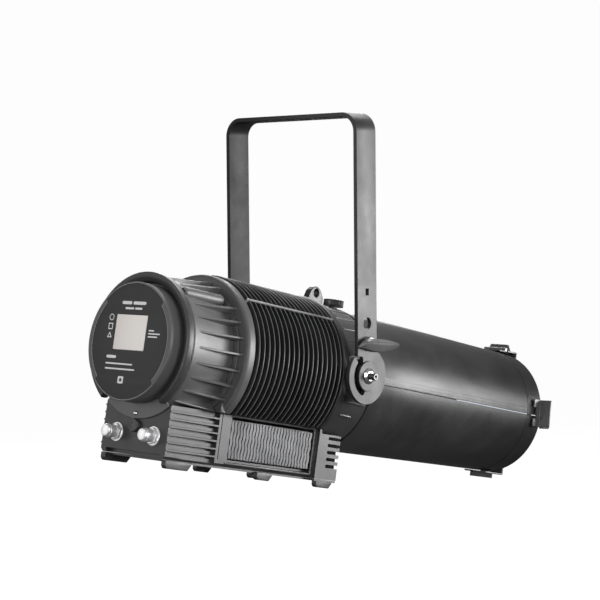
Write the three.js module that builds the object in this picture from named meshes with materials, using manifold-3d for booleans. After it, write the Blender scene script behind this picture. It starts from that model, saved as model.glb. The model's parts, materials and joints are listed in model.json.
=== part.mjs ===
// Ellipsoidal stage spotlight with a rear touch panel, hung from a flat-strap yoke.
// Millimetres, +Z up. The beam points along +Y and dips by TILT at rest.
// Lamp pieces are modelled level: y runs along the beam, z is up from the beam axis and
// +x is right as seen from the rear. The lamp then turns about the yoke pivots.
import * as THREE from 'three';
import { mergeVertices } from 'three/addons/utils/BufferGeometryUtils.js';
import Module from 'manifold-3d';

const wasm = await Module();
wasm.setup();

// ---------------------------------------------------------------- shared dimensions
// In names: R radius, T thickness, HALF half width, AT the two coordinates across an axis.
const TILT = 12; // degrees the beam dips at rest
const AXIS_DROP = 5; // beam axis below the pivot axis
const RUN = 0.05; // running clearance
const GAP = 0.3; // gap between resting neighbours
const EDGE_GAP = 0.4; // gap round plates and grilles
const SIDES = [['left', -1], ['right', 1]];

const PIVOT_R = 5;
const PIVOT_AT = [0, AXIS_DROP]; // in lamp coordinates
const SLOT_R = 23.2; // centre line of the guide slot in the yoke ends
const BOSS_R = 25; // side bosses of the gate collar

const BASE_HALF = 61;
const BASE_TOP = -73;
const BASE_BOTTOM = -140.2;
const BASE_REAR_Y = -294;
const BASE_FRONT_Y = 23;

// ---------------------------------------------------------------- solids
// Weld vertices, drop collapsed triangles and make the faces point outwards.
function clean(source) {
  const bare = source.clone();
  bare.deleteAttribute('normal');
  bare.deleteAttribute('uv');
  const merged = mergeVertices(bare, 1e-4);
  const index = merged.index.array;
  const position = merged.attributes.position;
  const corners = [0, 1, 2].map(() => new THREE.Vector3());
  const kept = [];
  let volume = 0;
  for (let i = 0; i < index.length; i += 3) {
    const triangle = [index[i], index[i + 1], index[i + 2]];
    if (new Set(triangle).size < 3) continue;
    kept.push(...triangle);
    corners.forEach((corner, k) => corner.fromBufferAttribute(position, triangle[k]));
    volume += corners[0].dot(corners[1].cross(corners[2])) / 6;
  }
  if (volume < 0) {
    for (let i = 0; i < kept.length; i += 3) [kept[i], kept[i + 1]] = [kept[i + 1], kept[i]];
  }
  merged.setIndex(kept);
  return merged;
}

function toSolid(geometry) {
  const cleaned = clean(geometry);
  return new wasm.Manifold(new wasm.Mesh({
    numProp: 3,
    vertProperties: new Float32Array(cleaned.attributes.position.array),
    triVerts: new Uint32Array(cleaned.index.array),
  }));
}

function fromSolid(solid) {
  const mesh = solid.getMesh();
  const geometry = new THREE.BufferGeometry();
  const vertices = new Float32Array(mesh.vertProperties);
  geometry.setAttribute('position', new THREE.BufferAttribute(vertices, 3));
  geometry.setIndex(new THREE.BufferAttribute(new Uint32Array(mesh.triVerts), 1));
  return geometry;
}

const cut = (body, ...tools) =>
  fromSolid(tools.reduce((solid, tool) => solid.subtract(toSolid(tool)), toSolid(body)));
const join = (body, ...parts) =>
  fromSolid(parts.reduce((solid, part) => solid.add(toSolid(part)), toSolid(body)));
const intersect = (body, limit) => fromSolid(toSolid(body).intersect(toSolid(limit)));

// Spans are [low, high] pairs along one axis.
const centred = (half) => [-half, half];
const grow = ([low, high], by = 1) => [low - by, high + by];
const sideSpan = (sign, inner, outer) => (sign > 0 ? [inner, outer] : [-outer, -inner]);

function box([x0, x1], [y0, y1], [z0, z1]) {
  return new THREE.BoxGeometry(x1 - x0, y1 - y0, z1 - z0)
    .translate((x0 + x1) / 2, (y0 + y1) / 2, (z0 + z1) / 2);
}

// Round bar along an axis, placed by its other two coordinates in x, y, z order.
// The radius is measured through the corners; endRadius is at the high end.
function bar(axis, radius, [start, end], [first, second], segments = 20, endRadius = radius) {
  const geometry = new THREE.CylinderGeometry(endRadius, radius, end - start, segments)
    .translate(0, (start + end) / 2, 0);
  if (axis === 'x') geometry.rotateZ(-Math.PI / 2).translate(0, first, second);
  if (axis === 'y') geometry.translate(first, 0, second);
  if (axis === 'z') geometry.rotateX(Math.PI / 2).translate(first, second, 0);
  return geometry;
}

// Corner radius of a bore whose flats clear a shaft by RUN.
const runningBore = (shaftR, segments) => (shaftR + RUN) / Math.cos(Math.PI / segments);

// Disc across x with a hole through it.
function disc(radius, holeR, span, at, segments = 20, holeSegments = 12) {
  return cut(bar('x', radius, span, at, segments), bar('x', holeR, grow(span), at, holeSegments));
}

// Revolve a (radius, y) outline about the beam axis.
function turn(outline, segments = 28) {
  const points = outline.map(([radius, y]) => new THREE.Vector2(radius, y));
  if (outline[0][0] > 0) points.push(points[0].clone());
  return new THREE.LatheGeometry(points, segments);
}

const ring = ([inner, outer], [rear, front], segments) =>
  turn([[inner, rear], [outer, rear], [outer, front], [inner, front]], segments);

// Extrude an outline: 'x' takes (y, z) points, 'y' takes (x, z), 'z' takes (x, y).
function prism(axis, outline, [start, end]) {
  const flip = axis === 'y' ? -1 : 1;
  const shape = new THREE.Shape(outline.map(([a, b]) => new THREE.Vector2(a, flip * b)));
  const options = { depth: end - start, bevelEnabled: false, steps: 1 };
  const geometry = new THREE.ExtrudeGeometry(shape, options).translate(0, 0, start);
  const turned = new THREE.Matrix4();
  if (axis === 'x') turned.set(0, 0, 1, 0, 1, 0, 0, 0, 0, 1, 0, 0, 0, 0, 0, 1);
  if (axis === 'y') turned.set(1, 0, 0, 0, 0, 0, 1, 0, 0, -1, 0, 0, 0, 0, 0, 1);
  return geometry.applyMatrix4(turned);
}

const radians = (degrees) => degrees * Math.PI / 180;
const polar = (radius, degrees) =>
  [radius * Math.cos(radians(degrees)), radius * Math.sin(radians(degrees))];
// Turn about the beam, +X towards +Z.
const spin = (geometry, degrees) => geometry.clone().rotateY(-radians(degrees));

// ---------------------------------------------------------------- materials
const finish = (settings) => () => new THREE.MeshStandardMaterial(settings);
const paint = finish({ color: 0x1b1b1c, roughness: 0.45, metalness: 0.2 });
const plastic = finish({ color: 0x171718, roughness: 0.5, metalness: 0 });
const anodised = finish({ color: 0x141414, roughness: 0.4, metalness: 0.6 });
const steel = finish({ color: 0xb8b8b8, roughness: 0.25, metalness: 1 });
const blackSteel = finish({ color: 0x101010, roughness: 0.35, metalness: 0.8 });
const glass = finish({ color: 0xdfe8ea, roughness: 0.05, metalness: 0 });
const circuitBoard = finish({ color: 0x1c5a33, roughness: 0.5, metalness: 0.1 });
const ledYellow = finish({ color: 0xe8d36a, roughness: 0.4, metalness: 0 });
const greyMetal = finish({ color: 0x6a6a6a, roughness: 0.35, metalness: 0.9 });

// ---------------------------------------------------------------- groups
const root = new THREE.Group();
const frame = new THREE.Group(); // origin on the pivot axis, between the legs
root.add(frame);
const lamp = new THREE.Group();
lamp.rotation.x = -radians(TILT);
frame.add(lamp);
const level = new THREE.Group(); // level lamp coordinates, origin on the beam axis
level.position.z = -AXIS_DROP;
lamp.add(level);

function add(group, name, geometry, material) {
  const mesh = new THREE.Mesh(clean(geometry), material);
  mesh.name = name;
  group.add(mesh);
}

// ---------------------------------------------------------------- yoke
const YOKE_HALF = 121.5; // outer half width
const YOKE_H = 354; // pivot axis to the top face
const YOKE_CORNER_R = 26; // outside of the bend
const YOKE_DISC_R = 38.5; // round lower end of each leg
const STRAP_T = 6;
const STRAP_W = 40;
const YOKE_INNER = YOKE_HALF - STRAP_T;
const SLOT_W = 9.8;

function yokeStrap() {
  const bend = (sign, radius) => Array.from({ length: 5 }, (_, k) => {
    const [x, z] = polar(radius, (sign > 0 ? 0 : 90) + k * 22.5);
    return [sign * (YOKE_HALF - YOKE_CORNER_R) + x, YOKE_H - YOKE_CORNER_R + z];
  });
  const innerR = YOKE_CORNER_R - STRAP_T;
  return prism('y', [
    [YOKE_HALF, 0], ...bend(1, YOKE_CORNER_R), ...bend(-1, YOKE_CORNER_R), [-YOKE_HALF, 0],
    [-YOKE_INNER, 0], ...bend(-1, innerR).reverse(), ...bend(1, innerR).reverse(),
    [YOKE_INNER, 0],
  ], centred(STRAP_W / 2));
}

// Open arc about the pivot, (y, z); its mouth leaves the disc at its upper rear.
function guideSlotOutline() {
  const points = [];
  for (let angle = 240; angle >= 135; angle -= 10.5) {
    points.push(polar(SLOT_R + SLOT_W / 2, angle));
  }
  points.push(
    [-21, 22.6], [-27, 27.4], [-36, 32], [-32, 44],
    [-20.05, 44], [-20.05, 28.5], [-10, 27], [-8.8, 22],
  );
  for (let angle = 124; angle <= 240; angle += 11.6) {
    points.push(polar(SLOT_R - SLOT_W / 2, angle));
  }
  points.push(polar(SLOT_R - 3, 248), polar(SLOT_R, 251), polar(SLOT_R + 3, 248));
  return points;
}

const LEVER_AT = [0, 44.5];
const LEVER_BOLT_R = 4;
const LEVER_HOLE_R = LEVER_BOLT_R + GAP;

function yoke() {
  const discs = [];
  const cuts = [];
  for (const [, sign] of SIDES) {
    const leg = sideSpan(sign, YOKE_INNER, YOKE_HALF);
    const through = grow(leg);
    discs.push(bar('x', YOKE_DISC_R, leg, [0, 0], 28));
    cuts.push(
      bar('x', runningBore(PIVOT_R, 24), through, [0, 0], 24),
      prism('x', guideSlotOutline(), through),
      box(through, centred(3.4), [108.7, 118.3]),
      bar('x', 8.3, through, [0, 71]),
    );
  }
  cuts.push(bar('x', LEVER_HOLE_R, grow([YOKE_INNER, YOKE_HALF]), LEVER_AT, 16));
  cuts.push(bar('z', 6.5, [YOKE_H - 8, YOKE_H + 1], [0, 0]));
  return cut(join(yokeStrap(), ...discs), ...cuts);
}

// Lock lever, on the right leg
const leverBolt = () => join(
  bar('x', LEVER_BOLT_R, [111, 126], LEVER_AT, 16),
  bar('x', 7, [107.4, 112], LEVER_AT, 6),
);

// (y, z)
const PADDLE_OUTLINE = [
  [-24.6, 41.5], [-14, 50], [-6, 52], [8, 50], [26, 48.3], [42, 45],
  [55.5, 41], [56.6, 36.3], [44, 32], [17, 31], [0, 34.5], [-12, 38],
];

const tiltLever = () => cut(
  join(bar('x', 9, [123.6, 135], LEVER_AT), prism('x', PADDLE_OUTLINE, [124.4, 134])),
  bar('x', runningBore(LEVER_BOLT_R, 16), [121, 126.4], LEVER_AT, 16),
);

add(frame, 'yoke', yoke(), paint());
add(frame, 'lever_bolt', leverBolt(), blackSteel());
add(frame, 'lever_washer', disc(9, LEVER_HOLE_R, [121.8, 123.3], LEVER_AT, 20, 16), steel());
add(frame, 'tilt_lever', tiltLever(), plastic());

// ---------------------------------------------------------------- pivots
const HUB_R = 20.5; // painted disc over the slot's inner edge
const STUD_HOLE_R = PIVOT_R + 0.35;
const PIN_ANGLE = 186; // guide pin about the pivot, in the yoke at rest

function addPivot(side, sign) {
  const span = (inner, outer) => sideSpan(sign, inner, outer);
  const stud = cut(
    bar('x', PIVOT_R, span(112.4, 136), PIVOT_AT, 24),
    bar('x', 2.6, span(129, 137), PIVOT_AT, 6),
  );
  const friction = disc(15, STUD_HOLE_R, span(112.3, 115.2), PIVOT_AT);
  const hub = disc(HUB_R, STUD_HOLE_R, span(121.8, 123.6), PIVOT_AT, 28);
  const washer = disc(11.7, STUD_HOLE_R, span(123.9, 126.4), PIVOT_AT);
  const [pinY, pinZ] = polar(SLOT_R, PIN_ANGLE + TILT);
  const pin = bar('x', 3.2, span(112.3, 120.8), [pinY, pinZ + AXIS_DROP], 16);
  add(level, `friction_disc_${side}`, friction, plastic());
  add(level, `pivot_stud_${side}`, stud, blackSteel());
  add(level, `hub_disc_${side}`, hub, paint());
  add(level, `pivot_washer_${side}`, washer, steel());
  add(level, `guide_pin_${side}`, pin, blackSteel());
}
for (const [side, sign] of SIDES) addPivot(side, sign);

// ---------------------------------------------------------------- display end
const BEZEL_R = 75.6;
const BEZEL_Y = [-326, -299.4];
const PANEL_SIDE_R = 69.9;
const PANEL_END_R = 74.3; // top and bottom
const RECESS_FLOOR_Y = -320;
const SCREEN_HALF = 28;
const SCREEN_Z = [-11.3, 33];

// Round plan, stepped in at both sides; the bezel fills the two crescents.
const facePlan = (gap) => Array.from({ length: 40 }, (_, k) => {
  const angle = (k + 0.5) * 9;
  const atSide = Math.abs(Math.sin(radians(angle))) < Math.sin(radians(43));
  return polar((atSide ? PANEL_SIDE_R : PANEL_END_R) + gap, angle);
});

const displayBezel = () => cut(
  ring([66, BEZEL_R], BEZEL_Y, 40),
  prism('y', facePlan(GAP), [-330, RECESS_FLOOR_Y]),
);
const displayPanel = () => cut(
  prism('y', facePlan(0), [-325.4, RECESS_FLOOR_Y - GAP]),
  box(centred(SCREEN_HALF + GAP), [-327, -319], grow(SCREEN_Z, GAP)),
);
const controlBoard = () => cut(
  box(centred(46), [-311, -309.4], [-34, 38]),
  bar('y', 3, [-312, -308], [38, 30], 12),
  bar('y', 3, [-312, -308], [-38, -26], 12),
);

add(level, 'display_bezel', displayBezel(), plastic());
add(level, 'display_panel', displayPanel(), plastic());
add(level, 'touch_screen', box(centred(SCREEN_HALF), [-325.8, -320.4], SCREEN_Z), glass());
add(level, 'control_board', controlBoard(), circuitBoard());

// ---------------------------------------------------------------- rear casing and hood
const CASE_REAR_R = 88;
const CASE_FRONT_R = 82.5;
const CASE_REAR_Y = -299;
const CASE_FRONT_Y = -222;
const CASE_RIB_R = 91.5;
const CASE_RIBS = 28; // full circle, before the bottom ones are left out
const CASE_SCREWS = [['right', 52], ['left', 128]]; // side, angle about the beam
const CASE_SCREW_R = 88; // screw centres from the beam axis
const PANEL_SCREW_AT = [0, -87.8];
const APRON_Y = [-296.2, -294.3];
const OPENING = [233, 307]; // angles of the sector open at the bottom

function caseRibs() {
  const front = CASE_FRONT_Y + 0.02;
  const outline = [
    [81, front], [CASE_RIB_R, front], [CASE_RIB_R, CASE_FRONT_Y - 4], [87.5, -292], [84, -290],
  ];
  const ribs = [];
  for (let k = 0; k < CASE_RIBS; k++) {
    const angle = 1.3 + k * 360 / CASE_RIBS;
    if (angle > 235 && angle < 305) continue;
    ribs.push(spin(prism('z', outline, centred(1.2)), angle));
  }
  return ribs;
}

function bottomSector(radius, span) {
  const endR = radius / Math.cos(radians(12.4));
  const arc = [245.4, 257.7, 270, 282.3, 294.6].map((angle) => polar(radius, angle));
  return prism('y', [[0, 0], polar(endR, OPENING[0]), ...arc, polar(endR, OPENING[1])], span);
}

// Under the display the rear wall steps forward and carries on down over the base.
function rearCasing() {
  const shell = turn([
    [CASE_REAR_R - 1, CASE_REAR_Y], [CASE_REAR_R, CASE_REAR_Y + 2],
    [CASE_FRONT_R, CASE_FRONT_Y], [CASE_FRONT_R - 3, CASE_FRONT_Y],
    [CASE_REAR_R - 3.4, CASE_REAR_Y + 3], [60, CASE_REAR_Y + 3], [60, CASE_REAR_Y],
  ]);
  const rods = CASE_SCREWS.map(([, angle]) => bar('y', 7.5, [-297, -230], polar(86.5, angle), 16));
  const holes = CASE_SCREWS.map(([, angle]) =>
    bar('y', 4.2, [-242, -229], polar(CASE_SCREW_R, angle), 12));
  const upper = cut(join(shell, ...caseRibs(), ...rods), bottomSector(120, [-300, APRON_Y[0]]));
  const apron = intersect(ring([60, 94.5], APRON_Y, 48), bottomSector(120, [-300, -290]));
  return cut(join(upper, apron), ...holes, bar('y', 3.2, [-301, -285], PANEL_SCREW_AT, 10));
}

function casingScrew(angle) {
  const at = polar(CASE_SCREW_R, angle);
  return cut(bar('y', 3.8, [-241.6, -233], at, 12), bar('y', 2, [-236, -232], at, 6));
}

function hood() {
  const body = turn([
    [77.6, -307], [83, -310.5], [88, -312], [90.4, -311.4],
    [91.2, -309], [91.2, -301], [89, -299.4], [77.6, -299.4],
  ]);
  const [left, right] = OPENING.map((angle) => polar(160, angle));
  return cut(body, prism('y', [[0, 0], left, [0, -200], right], [-330, -290]));
}

add(level, 'rear_casing', rearCasing(), plastic());
for (const [side, angle] of CASE_SCREWS) {
  add(level, `casing_screw_${side}`, casingScrew(angle), blackSteel());
}
add(level, 'hood', hood(), plastic());
add(level, 'panel_screw', bar('y', 2.9, [-300, -292], PANEL_SCREW_AT, 12), steel());

// ---------------------------------------------------------------- flange, heat sink, front ring
const FLANGE_R = 104;
const FLANGE_FRONT_Y = -204;
const FIN_R = 106;
const FIN_T = 2.4;
const FIN_PITCH = 9.42;
const FIN_COUNT = 18;
const FIRST_FIN_Y = -198;
const SINK_CORE_R = 62;
const SINK_BORE_R = 46;
const RING_R = 107;
const RING_REAR_Y = -32.2;
const RING_FRONT_Y = -14.2;

// Cuts the round pieces flat just above the base.
const baseCutter = () => box(centred(130), [-240, 60], [-160, BASE_TOP + GAP]);

const flangeRing = () => cut(turn([
  [70, -221.6], [88.6, -221.6], [88.6, -216], [98.6, -215.6], [103.2, -213.2],
  [FLANGE_R, -212], [FLANGE_R, FLANGE_FRONT_Y], [70, FLANGE_FRONT_Y],
]), baseCutter());

// A core bored from the rear, with round fins and two tie bars.
function heatSink() {
  const outline = [[0, -70], [SINK_BORE_R, -70], [SINK_BORE_R, -203.6], [SINK_CORE_R, -203.6]];
  for (let k = 0; k < FIN_COUNT; k++) {
    const [rear, front] = grow(Array(2).fill(FIRST_FIN_Y + k * FIN_PITCH), FIN_T / 2);
    outline.push([SINK_CORE_R, rear], [FIN_R, rear], [FIN_R, front], [SINK_CORE_R, front]);
  }
  outline.push([SINK_CORE_R, -32.6], [0, -32.6]);
  const tieBars = [45, 135].map((angle) =>
    spin(box([60, 107.3], [-203.2, -33], centred(1.5)), angle));
  return cut(join(turn(outline, 20), ...tieBars), baseCutter());
}

function frontRing() {
  const body = turn([
    [70, RING_REAR_Y], [RING_R - 1, RING_REAR_Y], [RING_R, RING_REAR_Y + 3],
    [RING_R - 1, -21], [101, RING_FRONT_Y], [70, RING_FRONT_Y],
  ]);
  const bossHole = (sign) => bar('x', BOSS_R + 0.4, sideSpan(sign, 92, 120), PIVOT_AT, 24);
  return cut(body, baseCutter(), bossHole(1), bossHole(-1));
}

add(level, 'flange_ring', flangeRing(), paint());
add(level, 'heat_sink', heatSink(), anodised());
add(level, 'front_ring', frontRing(), paint());

// ---------------------------------------------------------------- gate and light source
const COLLAR_R = 100;
const COLLAR_BORE_R = 93.2;
const COLLAR_FRONT_Y = 39;
const COLLAR_RIB_ANGLES = [
  66, 54, 42, 30, -30.6, -19.5, 114, 126, 138, 150, 199.5, 210.6,
];

function gateCollar() {
  const body = turn([
    [COLLAR_BORE_R, -13.8], [99.2, -13.8], [COLLAR_R, -12.5], [COLLAR_R, COLLAR_FRONT_Y - 1],
    [99.4, COLLAR_FRONT_Y], [COLLAR_BORE_R, COLLAR_FRONT_Y],
  ]);
  const bosses = [1, -1].map((sign) => bar('x', BOSS_R, sideSpan(sign, 94, 112), PIVOT_AT, 24));
  const ribs = COLLAR_RIB_ANGLES.map((angle) =>
    spin(box([97, 102.4], [-8, 36], centred(1)), angle));
  // the bosses stop outside the gate barrel
  return cut(join(body, ...bosses, ...ribs), bar('y', COLLAR_BORE_R, [-30, 60], [0, 0], 28));
}

// (y, z)
const LOOP_OUTLINE = [
  [-12, 101], [22, 101], [21, 112], [16, 119.5], [11, 123.8],
  [5.5, 125.8], [0, 124.3], [-6, 119], [-9, 111],
];
const safetyLoop = () => cut(
  prism('x', LOOP_OUTLINE, centred(5)),
  bar('x', 5.6, centred(6), [5.9, 116], 16),
);

const gateBarrel = () => turn([
  [92.4, -13.6], [92.4, 110], [89.4, 110], [89.4, -10.6], [46.4, -10.6], [46.4, -13.6],
]);
const condenserLens = () => turn([
  [0, -13.4], [46, -13.4], [46, -9], [36, -2.5], [20, 3], [0, 5],
]);
const ledArray = () => turn([[0, -29.7], [16, -29.7], [16, -27.7], [0, -27.2]], 20);

add(level, 'gate_collar', gateCollar(), paint());
add(level, 'safety_loop', safetyLoop(), paint());
add(level, 'gate_barrel', gateBarrel(), anodised());
add(level, 'condenser_lens', condenserLens(), glass());
add(level, 'gate_plate', ring([37.5, 88.6], [30, 32], 24), blackSteel());
add(level, 'led_board', ring([0, 35], [-32.2, -30], 24), circuitBoard());
add(level, 'led_array', ledArray(), ledYellow());

// ---------------------------------------------------------------- base housing
const BLOCK_HALF = 66; // wider block at the front of the base
const BLOCK_Y = [-18, BASE_FRONT_Y + 4];
const FOOT_BOTTOM = -151.5;
const GRILLE_Y = [-186, -24]; // opening for the side grilles
const GRILLE_Z = [-131, -77.4];
const LOUVRES = 7;
const LOUVRE_PITCH = 9.65;
const LOUVRE_FIN_T = 2;
const FAN_AT = [0, -110];
const FAN_HALF = 46;
const PLUG_AT = [0, -103];
const CONNECTOR_R = 7.6;
const connectorAt = (sign) => [sign * 34, -113.5];

// Pockets between the louvre fins, flush at the rear and deepest at the front.
function louvrePockets(sign) {
  const outer = BASE_HALF + 1;
  const outline = [[outer, -293], [outer, -209], [BASE_HALF - 4.6, -209]]
    .map(([x, y]) => [sign * x, y]);
  const finTop = (k) => -79.8 - k * LOUVRE_PITCH;
  return Array.from({ length: LOUVRES }, (_, k) => {
    const top = k === 0 ? BASE_TOP + 1 : finTop(k - 1) - LOUVRE_FIN_T;
    return prism('z', outline, [k === LOUVRES - 1 ? -136 : finTop(k), top]);
  });
}

function blockGrooves(sign) {
  return Array.from({ length: 5 }, (_, k) => {
    const top = -83 - k * 10.2;
    return box(sideSpan(sign, BLOCK_HALF - 3, BLOCK_HALF + 1), [6, 60], [top - 4, top]);
  });
}

function baseHousing() {
  const height = [BASE_BOTTOM, BASE_TOP];
  const cavity = [BASE_BOTTOM - 1, BASE_TOP - 3];
  const body = join(
    box(centred(BASE_HALF), [BASE_REAR_Y, BASE_FRONT_Y], height),
    box(centred(BLOCK_HALF), BLOCK_Y, height),
  );
  return cut(
    body,
    box(centred(BASE_HALF - 7), [BASE_REAR_Y + 3, -190], cavity),
    box(centred(BASE_HALF - 3), [-195, BASE_FRONT_Y], cavity),
    box(centred(BASE_HALF + 1), GRILLE_Y, GRILLE_Z),
    bar('y', 92.2, [-300, -221.4], [0, 0], 28),
    bar('y', 100.7, [-14.1, 60], [0, 0], 28),
    bar('z', 44, [-78, -70], FAN_AT, 24),
    bar('y', 8, [-300, -285], connectorAt(1)),
    bar('y', 8, [-300, -285], connectorAt(-1)),
    bar('y', 3.6, [-300, -285], PLUG_AT, 12),
    ...[-1, 1].flatMap((sign) => [...louvrePockets(sign), ...blockGrooves(sign)]),
  );
}

// Rear y, front y and outer x of each foot.
const FEET = [
  [-292, -245, BASE_HALF - 0.6],
  [-125, -94, BASE_HALF - 0.6],
  [-13, 22, BLOCK_HALF - 0.6],
];

function basePlate() {
  const height = [BASE_BOTTOM - 3, BASE_BOTTOM - GAP];
  const feet = [-1, 1].flatMap((sign) => FEET.map(([rear, front, outer]) => prism('x', [
    [rear, -143], [front, -143], [front - 6, FOOT_BOTTOM], [rear + 3, FOOT_BOTTOM],
  ], sideSpan(sign, outer - 8, outer))));
  return join(
    box(centred(BASE_HALF - EDGE_GAP), [BASE_REAR_Y + EDGE_GAP, BASE_FRONT_Y], height),
    box(centred(BLOCK_HALF - EDGE_GAP), grow(BLOCK_Y, -EDGE_GAP), height),
    ...feet,
  );
}

function sideGrille(sign) {
  const thickness = sideSpan(sign, 56.5, 60);
  const slots = Array.from({ length: 13 }, (_, k) => {
    const rear = -178 + k * 12;
    return box(grow(thickness), [rear, rear + 3], [-127, -81]);
  });
  return cut(box(thickness, grow(GRILLE_Y, -EDGE_GAP), grow(GRILLE_Z, -EDGE_GAP)), ...slots);
}

const connector = (at) => join(
  bar('y', CONNECTOR_R, [-304, -280], at, 16),
  bar('y', 10.6, [-298.6, -294.3], at, 6),
  bar('y', 10.4, [-290.7, -287], at, 12),
);
const connectorCap = (at) => cut(
  join(bar('y', 8.6, [-312.5, -300.2], at, 16), bar('y', 6.2, [-315, -312.4], at, 16, 8.6)),
  bar('y', runningBore(CONNECTOR_R, 16), [-304.5, -299], at, 16),
);
const ventPlug = () => join(
  bar('y', 6.4, [-300.5, -294.3], PLUG_AT, 6),
  bar('y', 3.3, [-295, -288], PLUG_AT, 12),
);
const fanFrame = () => cut(
  box(centred(FAN_HALF), [FAN_AT[1] - FAN_HALF, FAN_AT[1] + FAN_HALF], [-102, -79]),
  bar('z', 43, [-104, -77], FAN_AT, 28),
);

function fanRotor() {
  const blades = Array.from({ length: 7 }, (_, k) => new THREE.BoxGeometry(27, 2, 17)
    .rotateX(0.7)
    .translate(27, 0, 0)
    .rotateZ(k * 2 * Math.PI / 7)
    .translate(...FAN_AT, -90.5));
  return join(bar('z', 17, [-99, -82], FAN_AT), ...blades);
}

add(level, 'base_housing', baseHousing(), paint());
add(level, 'base_plate', basePlate(), paint());
for (const [side, sign] of SIDES) {
  add(level, `side_grille_${side}`, sideGrille(sign), greyMetal());
  add(level, `connector_${side}`, connector(connectorAt(sign)), steel());
  add(level, `connector_cap_${side}`, connectorCap(connectorAt(sign)), steel());
}
add(level, 'vent_plug', ventPlug(), plastic());
add(level, 'power_supply', box(centred(46), [-278, -196], [-138, -102]), steel());
add(level, 'fan_frame', fanFrame(), plastic());
add(level, 'fan_rotor', fanRotor(), plastic());

// ---------------------------------------------------------------- lens tube
const TUBE_REAR_R = 100.1;
const TUBE_FRONT_R = 94.2;
const TUBE_REAR_Y = 40.4;
const TUBE_FRONT_Y = 462;
const TUBE_WALL = 3;
const KNOB_AT = [0, 50];

// One half of the tube, kept within a span of z.
const tubeShell = (span) => intersect(turn([
  [TUBE_REAR_R, TUBE_REAR_Y], [TUBE_FRONT_R, TUBE_FRONT_Y],
  [TUBE_FRONT_R - TUBE_WALL, TUBE_FRONT_Y], [TUBE_REAR_R - TUBE_WALL, 50],
  [93.1, 48], [93.1, TUBE_REAR_Y],
], 32), box(centred(120), [0, 500], span));
const upperShell = () => cut(tubeShell([GAP / 2, 120]), bar('z', 3.3, [85, 110], KNOB_AT, 16));

const rearLens = () => turn([
  [0, 222], [45, 226], [93.2, 240], [93.2, 245], [45, 251], [0, 253],
], 24);
const frontLens = () => turn([[0, 418], [45, 421], [90.6, 432], [90.6, 437], [0, 437]], 24);

// Locks the tube on the gate barrel.
const focusKnob = () => join(
  bar('z', 3.2, [96, 104], KNOB_AT, 16),
  bar('z', 6, [100.4, 104], KNOB_AT, 16),
  bar('z', 14.5, [103.4, 113.4], KNOB_AT, 28),
);

add(level, 'tube_upper_shell', upperShell(), paint());
add(level, 'tube_lower_shell', tubeShell([-120, -GAP / 2]), paint());
add(level, 'rear_lens', rearLens(), glass());
add(level, 'front_lens', frontLens(), glass());
add(level, 'lens_retainer', ring([85.5, 90.6], [437.5, 441.5], 24), blackSteel());
add(level, 'focus_knob', focusKnob(), plastic());

// ---------------------------------------------------------------- accessory brackets and latch
const SHEET_T = 2.4;
const BRACKET_R = TUBE_FRONT_R + 0.9; // underside of the bracket feet
const BRACKET_TOP = BRACKET_R + SHEET_T;
const BRACKET_SPAN = centred(21);
const EAR_Y = 454;
const LIP_Y = 484;
const HINGE_AT = [454, 99.6];
const HINGE_PIN_R = 1.6;

// Foot on the rim, ear standing out, tongue and lip ahead of the rim; built on +X.
function bracket(earHeight, earHoles) {
  const earR = BRACKET_R + earHeight;
  const body = prism('z', [
    [BRACKET_R, 440], [BRACKET_TOP, 440], [BRACKET_TOP, EAR_Y], [earR, EAR_Y],
    [earR, EAR_Y + SHEET_T], [BRACKET_TOP, EAR_Y + SHEET_T], [BRACKET_TOP, LIP_Y],
    [80, LIP_Y], [80, LIP_Y - SHEET_T], [BRACKET_R, LIP_Y - SHEET_T],
  ], BRACKET_SPAN);
  const cuts = [box([BRACKET_R - 2, BRACKET_R + 4], [438, 446], centred(9))];
  if (earHoles) {
    cuts.push(box([BRACKET_R + 3, BRACKET_R + 7.4], [450, 460], [12, 16.4]));
    cuts.push(bar('y', 2.4, [450, 460], [BRACKET_R + 5.2, -8], 12));
  }
  return cut(body, ...cuts);
}

const knuckle = (span) => bar('x', 3.4, span, HINGE_AT, 16);

function latchBracket() {
  const arms = [[-21, -8], [8, 21]];
  return cut(join(
    box(BRACKET_SPAN, [436, 450], [BRACKET_R, BRACKET_TOP]),
    ...arms.map((span) => box(span, [448, HINGE_AT[0]], [BRACKET_R + 0.4, BRACKET_R + 3.4])),
    ...arms.map(knuckle),
  ), bar('x', 1.9, centred(22), HINGE_AT, 12));
}

function accessoryLatch() {
  const [hingeY, hingeZ] = HINGE_AT;
  const width = centred(7.6);
  const plate = prism('x', [
    [458.2, 99], [LIP_Y, 99], [LIP_Y, 82.6],
    [LIP_Y - SHEET_T, 82.6], [LIP_Y - SHEET_T, 96.6], [458.2, 96.6],
  ], BRACKET_SPAN);
  const ear = prism('y', [[-21, 97.5], [21, 97.5], [15.5, 109], [-15.5, 109]], [460.6, 467]);
  const link = box(width, [hingeY, 461], [hingeZ - 3, hingeZ + 0.4]);
  const pinBore = bar('x', runningBore(HINGE_PIN_R, 12), centred(9), HINGE_AT, 12);
  return cut(join(knuckle(width), link, plate, ear), pinBore);
}

add(level, 'bracket_right', spin(bracket(21, true), 2.1), paint());
add(level, 'bracket_left', spin(bracket(21, true), 177.9), paint());
add(level, 'bracket_bottom', spin(bracket(9.5, false), -90), paint());
add(level, 'latch_bracket', latchBracket(), paint());
add(level, 'latch_pin', bar('x', HINGE_PIN_R, centred(20.5), HINGE_AT, 12), steel());
add(level, 'accessory_latch', accessoryLatch(), paint());

// ---------------------------------------------------------------- placing
// The root origin is the middle of the bounding box's underside.
root.updateMatrixWorld(true);
const bounds = new THREE.Box3().setFromObject(root, true);
const centre = bounds.getCenter(new THREE.Vector3());
frame.position.set(-centre.x, -centre.y, -bounds.min.z);
root.updateMatrixWorld(true);

export default root;
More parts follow.
